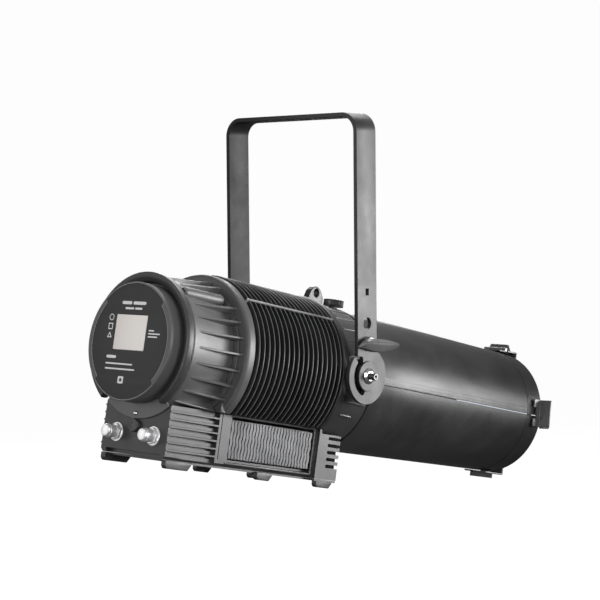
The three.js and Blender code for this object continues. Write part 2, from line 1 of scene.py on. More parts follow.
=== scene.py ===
"""Ellipsoidal stage spotlight: fine meshes and procedural materials around the CAD frame.

The lamp hangs in a yoke on a tilt axis along X. The beam runs towards +Y and tips down;
the display end is at the rear (-Y), and +X is the lamp's right.
"""

import json
import math

import bmesh
import bpy
import numpy as np
from mathutils import Matrix, Vector

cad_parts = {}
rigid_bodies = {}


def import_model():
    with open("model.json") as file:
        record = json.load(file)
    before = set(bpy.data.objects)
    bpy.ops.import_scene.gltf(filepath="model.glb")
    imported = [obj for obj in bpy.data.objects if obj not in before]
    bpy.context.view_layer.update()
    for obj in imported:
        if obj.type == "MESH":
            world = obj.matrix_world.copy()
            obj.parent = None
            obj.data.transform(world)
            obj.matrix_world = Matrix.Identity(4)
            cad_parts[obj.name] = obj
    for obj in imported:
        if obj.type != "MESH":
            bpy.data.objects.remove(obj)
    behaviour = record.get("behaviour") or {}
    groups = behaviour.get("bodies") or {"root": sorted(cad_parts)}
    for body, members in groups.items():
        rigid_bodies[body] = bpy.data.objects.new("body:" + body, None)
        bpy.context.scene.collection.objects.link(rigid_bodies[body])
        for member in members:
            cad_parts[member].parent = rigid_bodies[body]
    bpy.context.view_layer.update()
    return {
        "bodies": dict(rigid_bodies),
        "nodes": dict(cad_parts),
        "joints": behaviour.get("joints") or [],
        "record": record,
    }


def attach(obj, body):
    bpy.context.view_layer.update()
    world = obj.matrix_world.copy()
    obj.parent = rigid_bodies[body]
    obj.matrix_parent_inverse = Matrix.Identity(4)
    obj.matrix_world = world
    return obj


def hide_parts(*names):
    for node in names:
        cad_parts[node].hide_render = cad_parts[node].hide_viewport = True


for ob in list(bpy.data.objects):
    bpy.data.objects.remove(ob)
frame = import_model()
NODES = frame["nodes"]

# ------------------------------------------------------------------ frames
# Lamp pieces are drawn in millimetres as (x, s, u): s along the beam, u up from its axis.
# Yoke pieces are drawn in millimetres as (x, y, z) from the tilt axis.
DEG = math.pi / 180
PIVOT_U = 5  # height of the tilt axis above the beam axis
joints = {j["name"]: j for j in frame["joints"]}
PIVOT = Vector(joints["tilt"]["pos_m"])
beam = Vector(joints["focus"]["axis"]).normalized()
TILT = math.atan2(-beam.z, beam.y)
YOKE = Matrix.Translation(PIVOT) @ Matrix.Scale(0.001, 4)
LAMP = (
    Matrix.Translation(PIVOT)
    @ Matrix.Rotation(-TILT, 4, "X")
    @ Matrix.Scale(0.001, 4)
    @ Matrix.Translation((0, 0, -PIVOT_U))
)

# ------------------------------------------------------------------ shared dimensions, mm
GAP = (233, 307)        # degrees: the bottom sector the hood leaves open
FLAT_U = -72.7          # flat underside of the flange, heat sink and front ring
BODY_BORE = 93.2        # bore of the gate collar, and radius of the rear lens
SLOT_RADIUS = 23.2      # centre line of the curved yoke slot, with the guide pin in it
PIVOT_AT = (0, PIVOT_U)  # (s, u) of the tilt axis


# ------------------------------------------------------------------ outlines
def polar(radius, degrees):
    return (radius * math.cos(degrees * DEG), radius * math.sin(degrees * DEG))


def circle(centre, radius, count=32, start=0.0):
    """Regular polygon; start is the angle of its first corner in radians."""
    angles = [start + 2 * math.pi * i / count for i in range(count)]
    return [(centre[0] + radius * math.cos(a), centre[1] + radius * math.sin(a)) for a in angles]


def fillet(corners, radius=None, steps=3):
    """Closed outline with rounded corners.

    Corners are (a, b) with one radius for all, or (a, b, corner radius).
    """
    points = [Vector(c[:2]) for c in corners]
    radii = [c[2] if radius is None else radius for c in corners]
    out = []
    for i, (corner, r) in enumerate(zip(points, radii)):
        back = points[i - 1] - corner
        ahead = points[(i + 1) % len(points)] - corner
        back_len, ahead_len = back.length, ahead.length
        if r <= 0 or back_len < 1e-6 or ahead_len < 1e-6:
            out.append(corner)
            continue
        back.normalize()
        ahead.normalize()
        angle = math.acos(max(-1, min(1, back.dot(ahead))))
        if angle > math.pi - 0.06:  # nearly straight
            out.append(corner)
            continue
        reach = min(r / math.tan(angle / 2), back_len * 0.48, ahead_len * 0.48)
        fitted = reach * math.tan(angle / 2)
        centre = corner + (back + ahead).normalized() * (fitted / math.sin(angle / 2))
        first = corner + back * reach - centre
        last = corner + ahead * reach - centre
        sweep = math.acos(max(-1, min(1, first.normalized().dot(last.normalized()))))
        sign = 1 if first.x * last.y - first.y * last.x > 0 else -1
        for q in range(steps + 1):
            w = sign * sweep * q / steps
            cos, sin = math.cos(w), math.sin(w)
            out.append(centre + Vector((first.x * cos - first.y * sin,
                                        first.x * sin + first.y * cos)))
    return [(p.x, p.y) for p in out]


def rect(x0, x1, y0, y1, radius=0.0, steps=4):
    corners = [(x0, y0), (x1, y0), (x1, y1), (x0, y1)]
    return fillet(corners, radius, steps) if radius else corners


def sided(side, near, far):
    """Span between two distances from the centre plane, on side +1 or -1."""
    return sorted((side * near, side * far))


# ------------------------------------------------------------------ solids
def new_obj(name, verts, faces):
    mesh = bpy.data.meshes.new(name)
    mesh.from_pydata([tuple(v) for v in verts], [], faces)
    mesh.validate()
    return link_mesh(name, mesh)


def link_mesh(name, mesh):
    ob = bpy.data.objects.new(name, mesh)
    bpy.context.scene.collection.objects.link(ob)
    return ob


def recalc(ob):
    """Merges vertices closer than 3e-4 mesh units and turns the normals outwards."""
    bm = bmesh.new()
    bm.from_mesh(ob.data)
    bmesh.ops.remove_doubles(bm, verts=bm.verts, dist=3e-4)
    bmesh.ops.recalc_face_normals(bm, faces=bm.faces)
    if bm.calc_volume(signed=True) < 0:
        bmesh.ops.reverse_faces(bm, faces=bm.faces)
    bm.to_mesh(ob.data)
    bm.free()
    return ob


def loft(name, sections):
    """Solid through a list of closed sections with equal point counts, capped at both ends."""
    n = len(sections[0])
    faces = []
    for i in range(len(sections) - 1):
        for k in range(n):
            m = (k + 1) % n
            faces.append((i * n + k, i * n + m, (i + 1) * n + m, (i + 1) * n + k))
    faces.append(tuple(range(n)))
    faces.append(tuple((len(sections) - 1) * n + k for k in reversed(range(n))))
    return recalc(new_obj(name, [v for section in sections for v in section], faces))


def lathe(name, profile, steps, arc=None):
    """Closed (r, s) outline turned about the beam axis, all round or over an arc.

    The arc is two angles in degrees, from +X towards +u.
    """
    n = len(profile)
    columns = steps + 1 if arc else steps
    verts, faces = [], []
    for i in range(columns):
        if arc:
            a = (arc[0] + (arc[1] - arc[0]) * i / steps) * DEG
        else:
            a = 2 * math.pi * i / steps
        verts += [(r * math.cos(a), s, r * math.sin(a)) for r, s in profile]
    for i in range(steps):
        j = (i + 1) % columns
        for k in range(n):
            m = (k + 1) % n
            faces.append((i * n + k, j * n + k, j * n + m, i * n + m))
    if arc:
        faces.append(tuple(range(n)))
        faces.append(tuple((columns - 1) * n + k for k in reversed(range(n))))
    return recalc(new_obj(name, verts, faces))


def lathe_solid(name, profile, steps):
    """(r, s) outline that starts and ends on the beam axis."""
    inner = profile[1:-1]
    n = len(inner)
    verts = [(0, profile[0][1], 0), (0, profile[-1][1], 0)]
    faces = []
    for i in range(steps):
        a = 2 * math.pi * i / steps
        verts += [(r * math.cos(a), s, r * math.sin(a)) for r, s in inner]
    for i in range(steps):
        here, there = 2 + i * n, 2 + (i + 1) % steps * n
        faces.append((0, here, there))
        faces.append((1, there + n - 1, here + n - 1))
        for k in range(n - 1):
            faces.append((here + k, here + k + 1, there + k + 1, there + k))
    return recalc(new_obj(name, verts, faces))


def rod(name, axis, profile, centre, steps=40):
    """(r, distance along the axis) outline turned about a line along x, y or z.

    It starts and ends with r = 0. centre is (y, z), (x, z) or (x, y) of the line.
    """
    p, q = centre
    ob = lathe_solid(name, profile, steps)
    ob.data.transform({
        "x": Matrix(((0, 1, 0, 0), (1, 0, 0, p), (0, 0, 1, q), (0, 0, 0, 1))),
        "y": Matrix.Translation((p, 0, q)),
        "z": Matrix(((1, 0, 0, p), (0, 0, 1, q), (0, 1, 0, 0), (0, 0, 0, 1))),
    }[axis])
    return recalc(ob)


def pin(name, axis, radius, span, centre, steps=40, chamfer=0.05):
    """Chamfered cylinder."""
    d0, d1 = span
    low = radius - chamfer
    profile = [(0, d0), (low, d0), (radius, d0 + chamfer), (radius, d1 - chamfer), (low, d1),
               (0, d1)]
    return rod(name, axis, profile, centre, steps)


# Outline (a, b) and depth d go to (y, z, x), (x, z, y) or (x, y, z)
PLATE_AXES = {
    "x": Matrix(((0, 0, 1, 0), (1, 0, 0, 0), (0, 1, 0, 0), (0, 0, 0, 1))),
    "y": Matrix(((1, 0, 0, 0), (0, 0, 1, 0), (0, 1, 0, 0), (0, 0, 0, 1))),
    "z": Matrix.Identity(4),
}


def plate(name, axis, outer, span, bevel=0.0, holes=(), steps=2):
    """Flat plate across an axis, with holes and rounded edges."""
    d0, d1 = span
    curve = bpy.data.curves.new(name, "CURVE")
    curve.dimensions = "2D"
    curve.fill_mode = "BOTH"
    curve.extrude = (d1 - d0) / 2 - bevel
    curve.bevel_depth = bevel
    curve.offset = -bevel
    curve.bevel_resolution = steps - 1
    for outline in [outer, *holes]:
        spline = curve.splines.new("POLY")
        spline.points.add(len(outline) - 1)
        for point, (a, b) in zip(spline.points, outline):
            point.co = (a, b, 0, 1)
        spline.use_cyclic_u = True
    drawn = link_mesh(name + "_curve", curve)
    bpy.context.view_layer.update()
    depsgraph = bpy.context.evaluated_depsgraph_get()
    mesh = bpy.data.meshes.new_from_object(drawn.evaluated_get(depsgraph))
    bpy.data.objects.remove(drawn)
    bpy.data.curves.remove(curve)
    mesh.name = name
    mesh.transform(Matrix.Translation((0, 0, (d0 + d1) / 2)))
    mesh.transform(PLATE_AXES[axis])
    return recalc(link_mesh(name, mesh))


def block(name, x_span, y_span, z_span, radius=0):
    """Box with rounded edges."""
    spans = (x_span, y_span, z_span)
    bm = bmesh.new()
    bmesh.ops.create_cube(bm, size=1)
    for v in bm.verts:
        v.co = [low + (c + 0.5) * (high - low) for c, (low, high) in zip(v.co, spans)]
    if radius:
        bmesh.ops.bevel(bm, geom=bm.edges[:], offset=radius, segments=2, profile=0.5,
                        affect="EDGES", clamp_overlap=True)
    mesh = bpy.data.meshes.new(name)
    bm.to_mesh(mesh)
    bm.free()
    return link_mesh(name, mesh)


# ------------------------------------------------------------------ shaping
def bake(ob, modifier):
    """Makes a modifier's result the object's mesh."""
    bpy.context.view_layer.update()
    depsgraph = bpy.context.evaluated_depsgraph_get()
    mesh = bpy.data.meshes.new_from_object(ob.evaluated_get(depsgraph))
    ob.modifiers.remove(modifier)
    old = ob.data
    ob.data = mesh
    bpy.data.meshes.remove(old)
    return ob


def closed(ob):
    bm = bmesh.new()
    bm.from_mesh(ob.data)
    ok = len(bm.faces) > 3 and all(e.is_manifold for e in bm.edges)
    bm.free()
    return ok


def boolean(ob, tool, operation):
    modifier = ob.modifiers.new("boolean", "BOOLEAN")
    modifier.operation = operation
    modifier.solver = "MANIFOLD" if closed(ob) and closed(tool) else "EXACT"
    modifier.object = tool
    bake(ob, modifier)
    bpy.data.objects.remove(tool)
    return ob


def union(ob, tool):
    return boolean(ob, tool, "UNION")


def cut(ob, tool):
    return boolean(ob, tool, "DIFFERENCE")


def merge(name, parts):
    """Collects separate closed shells in the first of them."""
    first, *rest = parts
    bm = bmesh.new()
    bm.from_mesh(first.data)
    for part in rest:
        bm.from_mesh(part.data)
        bpy.data.objects.remove(part)
    bm.to_mesh(first.data)
    bm.free()
    first.name = name
    return first


def turn(ob, degrees):
    """Turns a piece about the beam, from +X towards +u."""
    ob.data.transform(Matrix.Rotation(-degrees * DEG, 4, "Y"))
    return ob


def mirror(ob):
    ob.data.transform(Matrix.Scale(-1, 4, (1, 0, 0)))
    return recalc(ob)


def soften(ob, width, angle, steps):
    """Bevels every edge sharper than angle degrees."""
    modifier = ob.modifiers.new("edge", "BEVEL")
    modifier.width = width
    modifier.segments = steps
    modifier.limit_method = "ANGLE"
    modifier.angle_limit = angle * DEG
    return bake(ob, modifier)


def rib(section, root, stations, angle):
    """Radial rib along the beam, turned to an angle in degrees.

    section: (offset across, drop below the crest, or None at the root radius)
    stations: (s, crest radius, width factor)
    """
    sections = [
        [(root if drop is None else crest - drop, s, t * width) for t, drop in section]
        for s, crest, width in stations
    ]
    return turn(loft("rib", sections), angle)


def paint(mesh, material):
    mesh.materials.clear()
    mesh.materials.append(material)
    for polygon in mesh.polygons:
        polygon.material_index = 0


def place(ob, material, node=None, body="lamp", frame=LAMP, sharp=32):
    """Final step for a piece: frame, material, shading, the CAD node it stands for and body."""
    mesh = ob.data
    mesh.transform(frame)
    paint(mesh, material)
    for polygon in mesh.polygons:
        polygon.use_smooth = True
    mesh.set_sharp_from_angle(angle=sharp * DEG)
    mesh.update()
    if node:
        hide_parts(node)
    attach(ob, body)
    return ob


# ------------------------------------------------------------------ shader tools
class Shader:
    """Adds nodes around the Principled shader of a material."""

    def __init__(self, material):
        self.material = material
        material.use_nodes = True
        self.tree = material.node_tree
        self.bsdf = self.tree.nodes["Principled BSDF"]
        self.coords = self.node("ShaderNodeTexCoord").outputs["Object"]

    def feed(self, socket, value):
        """Links another socket, or sets a number, vector or colour."""
        if isinstance(value, bpy.types.NodeSocket):
            self.tree.links.new(value, socket)
        elif socket.type == "RGBA":
            socket.default_value = (*value, 1)
        else:
            socket.default_value = value

    def node(self, kind, inputs=None, **properties):
        node = self.tree.nodes.new(kind)
        for key, value in properties.items():
            setattr(node, key, value)
        for key, value in (inputs or {}).items():
            self.feed(node.inputs[key], value)
        return node

    def noise(self, scale, detail=4, rough=0.55, vector=None):
        inputs = {"Scale": scale, "Detail": detail, "Roughness": rough,
                  "Vector": vector or self.coords}
        return self.node("ShaderNodeTexNoise", inputs).outputs["Fac"]

    def voronoi(self, scale, feature):
        inputs = {"Scale": scale, "Vector": self.coords}
        return self.node("ShaderNodeTexVoronoi", inputs, feature=feature).outputs["Distance"]

    def remap(self, value, source=(0.3, 0.7), target=(0.0, 1.0)):
        inputs = {"From Min": source[0], "From Max": source[1],
                  "To Min": target[0], "To Max": target[1], "Value": value}
        return self.node("ShaderNodeMapRange", inputs).outputs["Result"]

    def math(self, operation, a, b):
        return self.node("ShaderNodeMath", {0: a, 1: b}, operation=operation).outputs[0]

    def mix(self, factor, a, b):
        inputs = {0: factor, 6: a, 7: b}
        return self.node("ShaderNodeMix", inputs, data_type="RGBA").outputs[2]

    def bump(self, height, strength, distance, normal=None):
        inputs = {"Strength": strength, "Distance": distance, "Height": height}
        if normal is not None:
            inputs["Normal"] = normal
        return self.node("ShaderNodeBump", inputs).outputs["Normal"]

    def edges(self, radius, source):
        """0 on flats, 1 on edges: how far a rounded normal departs from the true one."""
        rounded = self.node("ShaderNodeBevel", {"Radius": radius}, samples=4)
        true = self.node("ShaderNodeNewGeometry")
        inputs = {0: rounded.outputs["Normal"], 1: true.outputs["Normal"]}
        dot = self.node("ShaderNodeVectorMath", inputs, operation="DOT_PRODUCT")
        return self.remap(self.math("SUBTRACT", 1.0, dot.outputs["Value"]), source)

    def set(self, **inputs):
        """Feeds inputs of the Principled shader; underscores stand for spaces."""
        for key, value in inputs.items():
            self.feed(self.bsdf.inputs[key.replace("_", " ")], value)


def new_shader(name):
    return Shader(bpy.data.materials.new(name))


# ------------------------------------------------------------------ material kinds
def coat(name, base, rough, wear, grain=1500, depth=5e-5, spec=0.5, painted_shade=None):
    """Black powder coat or moulded plastic: fine grain, cloudy sheen, faint dust, rubbed edges.

    grain is the texture scale, depth its bump height in metres and wear the edge rubbing.
    The last argument paints shade, darkening colour and specular along an object axis: levels (0
    dark, 1 full) at the ends of a range in metres.
    """
    sh = new_shader(name)
    fine = sh.noise(grain, detail=2, rough=0.6)
    middle = sh.noise(grain * 0.28, detail=3, rough=0.5)
    cloud = sh.noise(9, detail=5, rough=0.6)
    smear = sh.noise(38, detail=4, rough=0.65)
    roughness = sh.math(
        "ADD",
        sh.remap(cloud, target=(rough - 0.05, rough + 0.05)),
        sh.remap(smear, source=(0.35, 0.7), target=(-0.03, 0.04)),
    )
    dust = sh.remap(sh.math("MULTIPLY", smear, cloud), source=(0.2, 0.42), target=(0.0, 0.35))
    dark = tuple(c * 0.82 for c in base)
    light = tuple(c * 1.3 + 0.004 for c in base)
    colour = sh.mix(sh.remap(cloud, source=(0.25, 0.75)), dark, light)
    colour = sh.mix(sh.math("MULTIPLY", dust, 0.12), colour, (0.16, 0.155, 0.15))
    if wear:
        spots = sh.remap(sh.noise(420, detail=4, rough=0.7), source=(0.46, 0.62))
        rubbed = sh.math("MULTIPLY", sh.edges(radius=0.0007, source=(0.02, 0.3)),
                         sh.math("MULTIPLY", spots, wear))
        colour = sh.mix(rubbed, colour, (0.2, 0.2, 0.205))
        # rubbed edges are also smoother
        roughness = sh.math("SUBTRACT", roughness, sh.math("MULTIPLY", rubbed, 0.12))
    normal = sh.bump(fine, strength=0.55, distance=depth)
    normal = sh.bump(middle, strength=0.35, distance=depth * 1.6, normal=normal)
    sh.set(Base_Color=colour, Roughness=roughness, Normal=normal, Specular_IOR_Level=spec)
    # painted shade: darker colour and weaker specular along one object axis
    if painted_shade:
        split = sh.node("ShaderNodeSeparateXYZ", {0: sh.coords})
        level = sh.remap(split.outputs[painted_shade["axis"]], painted_shade["range"], painted_shade["levels"])
        sh.set(Base_Color=sh.mix(level, (painted_shade["shade"],) * 3, colour),
               Specular_IOR_Level=sh.math("MULTIPLY", level, spec))
    return sh.material


def metal(name, base, rough, brushed, scratch, depth, aniso=0.0, metallic=1.0):
    """Brushed metal: brushed scales the scratch pattern along x, y and z."""
    sh = new_shader(name)
    cloud = sh.noise(24, detail=5, rough=0.6)
    fine = sh.noise(1800, detail=3, rough=0.6)
    mapping = sh.node("ShaderNodeMapping", {"Scale": brushed, "Vector": sh.coords})
    lines = sh.noise(900, detail=3, rough=0.7, vector=mapping.outputs["Vector"])
    dark = tuple(c * 0.88 for c in base)
    light = tuple(min(1, c * 1.08) for c in base)
    roughness = sh.math(
        "ADD",
        sh.remap(cloud, target=(rough * 0.8, rough * 1.2)),
        sh.remap(lines, target=(-0.04, 0.06)),
    )
    normal = sh.bump(lines, strength=scratch, distance=depth * 2)
    normal = sh.bump(fine, strength=0.25, distance=depth, normal=normal)
    sh.set(Base_Color=sh.mix(sh.remap(cloud), dark, light), Metallic=metallic,
           Roughness=roughness, Normal=normal, Anisotropic=aniso)
    return sh.material


def glass():
    """Clear lens glass with a thin uneven film and a bluish coating."""
    sh = new_shader("lens_glass_mat")
    film = sh.noise(60, detail=4, rough=0.6)
    sh.set(Base_Color=(0.93, 0.97, 0.98), Transmission_Weight=1.0, IOR=1.5,
           Roughness=sh.remap(film, source=(0.4, 0.7), target=(0.0, 0.05)),
           Coat_Weight=0.3, Coat_Roughness=0.02, Coat_Tint=(0.8, 0.86, 1.0))
    return sh.material


def circuit_board():
    """Green board with raised lighter lines."""
    sh = new_shader("circuit_board_mat")
    cells = sh.voronoi(420, "DISTANCE_TO_EDGE")
    traces = sh.remap(cells, source=(0.02, 0.05), target=(1.0, 0.0))
    sh.set(Base_Color=sh.mix(traces, (0.012, 0.09, 0.04), (0.03, 0.17, 0.07)),
           Roughness=sh.remap(sh.noise(80), target=(0.3, 0.5)),
           Normal=sh.bump(traces, strength=0.3, distance=5e-5))
    return sh.material


def heat_sink_black():
    """Black anodising with a patchy painted highlight: pale where the mesh attribute "rim" is 1,
    on the fin rims.
    """
    sh = Shader(coat("heat_sink_mat", base=(0.014, 0.014, 0.015), rough=0.34, wear=0.0,
                     grain=1800, depth=3e-5))
    rim = sh.node("ShaderNodeAttribute", attribute_name="rim")
    black = sh.bsdf.inputs["Base Color"].links[0].from_socket
    spots = sh.remap(sh.noise(260, detail=3, rough=0.6), target=(0.65, 1.0))
    # painted highlight on the fin rims, broken into patches
    painted_highlight = sh.math("MULTIPLY", rim.outputs["Fac"], spots)
    sh.set(Base_Color=sh.mix(painted_highlight, black, (0.24, 0.24, 0.245)))
    return sh.material


def face_film():
    """Flat charcoal film with a very fine matt texture."""
    sh = new_shader("face_film_mat")
    fine = sh.noise(2600, detail=2, rough=0.6)
    cloud = sh.noise(14, detail=4, rough=0.5)
    sh.set(Base_Color=sh.mix(sh.remap(cloud), (0.029, 0.029, 0.030), (0.034, 0.034, 0.035)),
           Roughness=sh.remap(cloud, target=(0.5, 0.58)),
           Normal=sh.bump(fine, strength=0.4, distance=3e-5), Specular_IOR_Level=0.3)
    return sh.material


def legend_ink():
    """Pale grey ink."""
    sh = new_shader("legend_ink_mat")
    grain = sh.noise(900, detail=3, rough=0.6)
    blend = sh.remap(grain, source=(0.35, 0.7))
    sh.set(Base_Color=sh.mix(blend, (0.62, 0.62, 0.62), (0.8, 0.8, 0.8)), Roughness=0.55,
           Normal=sh.bump(grain, strength=0.3, distance=2e-5))
    return sh.material


def screen_glass():
    """Warm grey screen that glows faintly."""
    sh = new_shader("screen_glass_mat")
    tint = sh.noise(3.0, detail=2, rough=0.5)
    grain = sh.noise(2200, detail=2, rough=0.5)
    sh.set(Base_Color=sh.mix(sh.remap(tint), (0.5, 0.475, 0.455), (0.56, 0.53, 0.505)),
           Roughness=sh.remap(grain, target=(0.3, 0.4)), Specular_IOR_Level=0.35,
           Normal=sh.bump(grain, strength=0.2, distance=1e-5),
           Emission_Color=(0.55, 0.52, 0.5), Emission_Strength=0.34)
    return sh.material


def phosphor():
    """Yellow grains."""
    sh = new_shader("phosphor_mat")
    cells = sh.voronoi(900, "F1")
    blend = sh.remap(cells, source=(0.0, 0.6))
    sh.set(Base_Color=sh.mix(blend, (0.85, 0.62, 0.1), (0.9, 0.74, 0.2)), Roughness=0.5,
           Normal=sh.bump(cells, strength=0.3, distance=5e-5))
    return sh.material


# ------------------------------------------------------------------ materials
PLASTIC = coat("black_plastic_mat", base=(0.03, 0.03, 0.031), rough=0.4, wear=0.3)
CASING = coat("rear_casing_mat", base=(0.06, 0.06, 0.061), rough=0.46, wear=1.0, spec=0.85)
CAST = coat("black_casting_mat", base=(0.021, 0.021, 0.0215), rough=0.4, wear=0.7,
            grain=1300, depth=7e-5, spec=0.44)
# painted shadow: near-black matt coat for the cores that fill the shade inside the base
SHADOW_FILL = coat("shadow_core_mat", base=(0.003, 0.003, 0.003), rough=0.8, wear=0.0,
            grain=1300, depth=4e-5, spec=0.05)
# full edge rubbing: the pale rubbed edges on the ribs are partly wear and partly a painted
# highlight on the rib tops
COLLAR = coat("collar_mat", base=(0.027, 0.027, 0.0275), rough=0.36, wear=1.0,
              grain=1300, depth=7e-5, spec=0.6)
# painted shade: the tube's colour and specular darken towards its front end
TUBE = coat("tube_paint_mat", base=(0.017, 0.017, 0.0175), rough=0.37, wear=0.2,
            grain=1600, depth=4e-5, spec=0.4,
            painted_shade=dict(axis="Y", range=(0.06, 0.34), levels=(1.0, 0.42), shade=0.006))
# painted shade: the yoke's colour and specular darken towards its left side
YOKE_PAINT = coat("yoke_paint_mat", base=(0.022, 0.022, 0.0225), rough=0.44, wear=0.35,
                  grain=1200, depth=7e-5, spec=0.34,
                  painted_shade=dict(axis="X", range=(-0.1, 0.1), levels=(0.4, 1.0), shade=0.004))
EAR = coat("ear_bracket_mat", base=(0.07, 0.07, 0.071), rough=0.36, wear=0.5,
           grain=1300, depth=6e-5)
BRACKET = coat("bracket_mat", base=(0.032, 0.032, 0.033), rough=0.4, wear=0.35,
               grain=1300, depth=7e-5)
BAND = coat("flange_band_mat", base=(0.06, 0.06, 0.061), rough=0.4, wear=0.6,
            grain=1300, depth=6e-5)
# painted highlight: pale coat for the thin bead round the face film's edge
FILM_EDGE_HIGHLIGHT = coat("film_edge_highlight_mat", base=(0.2, 0.2, 0.205), rough=0.4, wear=0.2, depth=2e-5)
BEZEL = coat("rear_bezel_mat", base=(0.085, 0.085, 0.086), rough=0.5, wear=0.4, spec=0.4)
ANODISED = coat("anodised_fin_mat", base=(0.014, 0.014, 0.015), rough=0.32, wear=0.5,
                grain=1800, depth=3e-5)
FINS = heat_sink_black()
KNOB = coat("knob_mat", base=(0.028, 0.028, 0.029), rough=0.34, wear=0.3, depth=4e-5)
LEVER = coat("lever_mat", base=(0.08, 0.08, 0.081), rough=0.3, wear=0.5, depth=2e-5, spec=0.7)
GRILLE = metal("grille_metal_mat", base=(0.08, 0.08, 0.082), rough=0.5, brushed=(1, 6, 0.4),
               scratch=0.4, depth=3e-5)
NICKEL = metal("nickel_mat", base=(0.85, 0.85, 0.86), rough=0.36, brushed=(1, 0.2, 1),
               scratch=0.4, depth=2e-5, aniso=0.2, metallic=0.72)
STEEL = metal("bright_steel_mat", base=(0.78, 0.78, 0.79), rough=0.2, brushed=(0.3, 1, 1),
              scratch=0.5, depth=2e-5, aniso=0.3)
BLACK_STEEL = coat("black_steel_mat", base=(0.02, 0.02, 0.021), rough=0.3, wear=0.6,
                   depth=3e-5, spec=0.6)
GLASS = glass()
BOARD = circuit_board()
PAD = coat("friction_pad_mat", base=(0.05, 0.045, 0.04), rough=0.7, wear=0.0,
           grain=900, depth=1e-4)
FAN = coat("fan_plastic_mat", base=(0.02, 0.02, 0.021), rough=0.4, wear=0.1, depth=4e-5)
FILM = face_film()
INK = legend_ink()
SCREEN = screen_glass()
PHOSPHOR = phosphor()
SUPPLY = metal("supply_case_mat", base=(0.6, 0.6, 0.61), rough=0.35, brushed=(1, 0.2, 1),
               scratch=0.5, depth=3e-5, aniso=0.2)


# ------------------------------------------------------------------ display end
def face_plan(side, end, count=240):
    """Round outline of radius `end`, stepped in to radius `side` within 43 degrees of X."""
    out = []
    for k in range(count):
        a = (k + 0.5) * 360 / count
        near_side = abs(math.sin(a * DEG)) < math.sin(43 * DEG)
        out.append(polar(side if near_side else end, a))
    return out


# Bezel, with two crescents left at the sides. Columns: r, s, corner radius
bezel = lathe("rear_bezel", fillet([
    (75.6, -299.4, 0.5), (75.6, -326, 0.9), (66, -326, 0), (66, -299.4, 0),
], steps=4), 160)
cut(bezel, plate("recess", "y", face_plan(69.4, 74.6), (-330, -320)))
soften(bezel, width=0.25, angle=50, steps=2)
place(bezel, BEZEL, "display_bezel")

FACE_S = -325.5  # rear surface of the face panel
face = plate("rear_face_panel", "y", face_plan(69.1, 74.3), (FACE_S, -320.3), 0.2)
cut(face, plate("window", "y", rect(-28.4, 28.4, -11.7, 33.4, 1.2), (-327, -318)))
place(face, FILM, "display_panel")

# thin pale bead round the film edge: a painted highlight in place of the lit edge bevel
bead = plate("face_film_edge_highlight", "y", face_plan(69.3, 74.5), (-325.95, -325.3), 0.15,
             [face_plan(68.5, 73.7)])
place(bead, FILM_EDGE_HIGHLIGHT)

screen = plate("touch_screen_glass", "y", rect(-28, 28, -11.3, 33, 1.0), (-325.9, -320.5), 0.25)
place(screen, SCREEN, "touch_screen")


def bar(x0, x1, u, height):
    """Round-ended printed bar: an outline and no holes."""
    return rect(x0, x1, u - height / 2, u + height / 2, height * 0.45, 3), []


# Printed shapes: title bars, icons at one side, note bars, caution bars and a square
PRINTS = [
    bar(-22, -4, 48.2, 4.0), bar(-1.5, 22, 48.2, 4.0),
    bar(-15, 1, 41.2, 2.6), bar(3, 16, 41.2, 2.6),
    (circle((-38, 29), 4.2, 28), [circle((-38, 29), 3.2, 28)]),
    (rect(-42, -34, 13.4, 21.4, 0.8), [rect(-40.8, -35.2, 14.6, 20.2, 0.4)]),
    (fillet([(-42.5, 3), (-33.5, 3), (-38, 10.5)], 0.5),
     [fillet([(-40.3, 4.2), (-35.7, 4.2), (-38, 8)], 0.3)]),
    bar(33, 43, 14.5, 1.7), bar(33, 54, 10.6, 1.7), bar(33, 50, 6.8, 1.7),
    bar(-38, -20, -21, 3.6), bar(-38, 12, -29.5, 1.9), bar(-38, 17, -36, 1.9),
    (rect(-11, -1, -54, -45, 1.2), [circle((-6, -49.5), 2.4, 20)]),
]
legend = merge("face_legend", [
    plate("print", "y", outer, (FACE_S - 0.12, FACE_S + 0.02), holes=holes)
    for outer, holes in PRINTS
])
place(legend, INK)

# ------------------------------------------------------------------ hood, casing, flange
# Hood. Columns: r, s, corner radius
hood = lathe("rear_hood", fillet([
    (77.6, -304.5, 0.4), (79.5, -307.5, 2), (84.2, -310.6, 2), (88.2, -312, 1.0),
    (91.2, -309.5, 1.2), (91.6, -303, 1.2), (90.4, -299.6, 0.5), (77.6, -299.5, 0.3),
], steps=4), 150, (GAP[1] - 360, GAP[0]))
place(hood, PLASTIC, "hood", sharp=38)

RIB_COUNT = 28
RIB_START = 1.3
SCREWS = (("right", 52), ("left", 128))  # angles of the casing screws
# Rib section: offset across, drop below the crest
CASING_RIB = [(-2.0, None), (2.0, None), (1.55, 0.6), (1.1, 0), (-1.1, 0), (-1.55, 0.6)]
# Rib stations: s, crest radius, width factor. Flush at the rear, proud at the flange
CASING_RIB_STATIONS = [
    (-289, 87.2, 0.55), (-285, 88.6, 1.0), (-262, 90.8, 1.0),
    (-236, 93.2, 1.0), (-222, 94.9, 1.0), (-217.5, 95.4, 1.0),
]
# Casing shell. Columns: r, s, corner radius
casing = lathe("rear_casing_shell", fillet([
    (87.2, -299, 0.6), (88.6, -296.5, 1.5), (88, -292, 6), (82.5, -222, 0.3),
    (79.4, -222, 0), (84.4, -296, 0), (60, -296, 0), (60, -299, 0),
], steps=4), 168)
casing_ribs = []
for k in range(RIB_COUNT):
    a = RIB_START + k * 360 / RIB_COUNT
    in_gap = GAP[0] - 1 < a < GAP[1] + 1
    if not in_gap and all(abs(a - screw) >= 5 for _, screw in SCREWS):
        casing_ribs.append(rib(CASING_RIB, 80.5, CASING_RIB_STATIONS, a))
casing_ribs = merge("casing_ribs", casing_ribs)
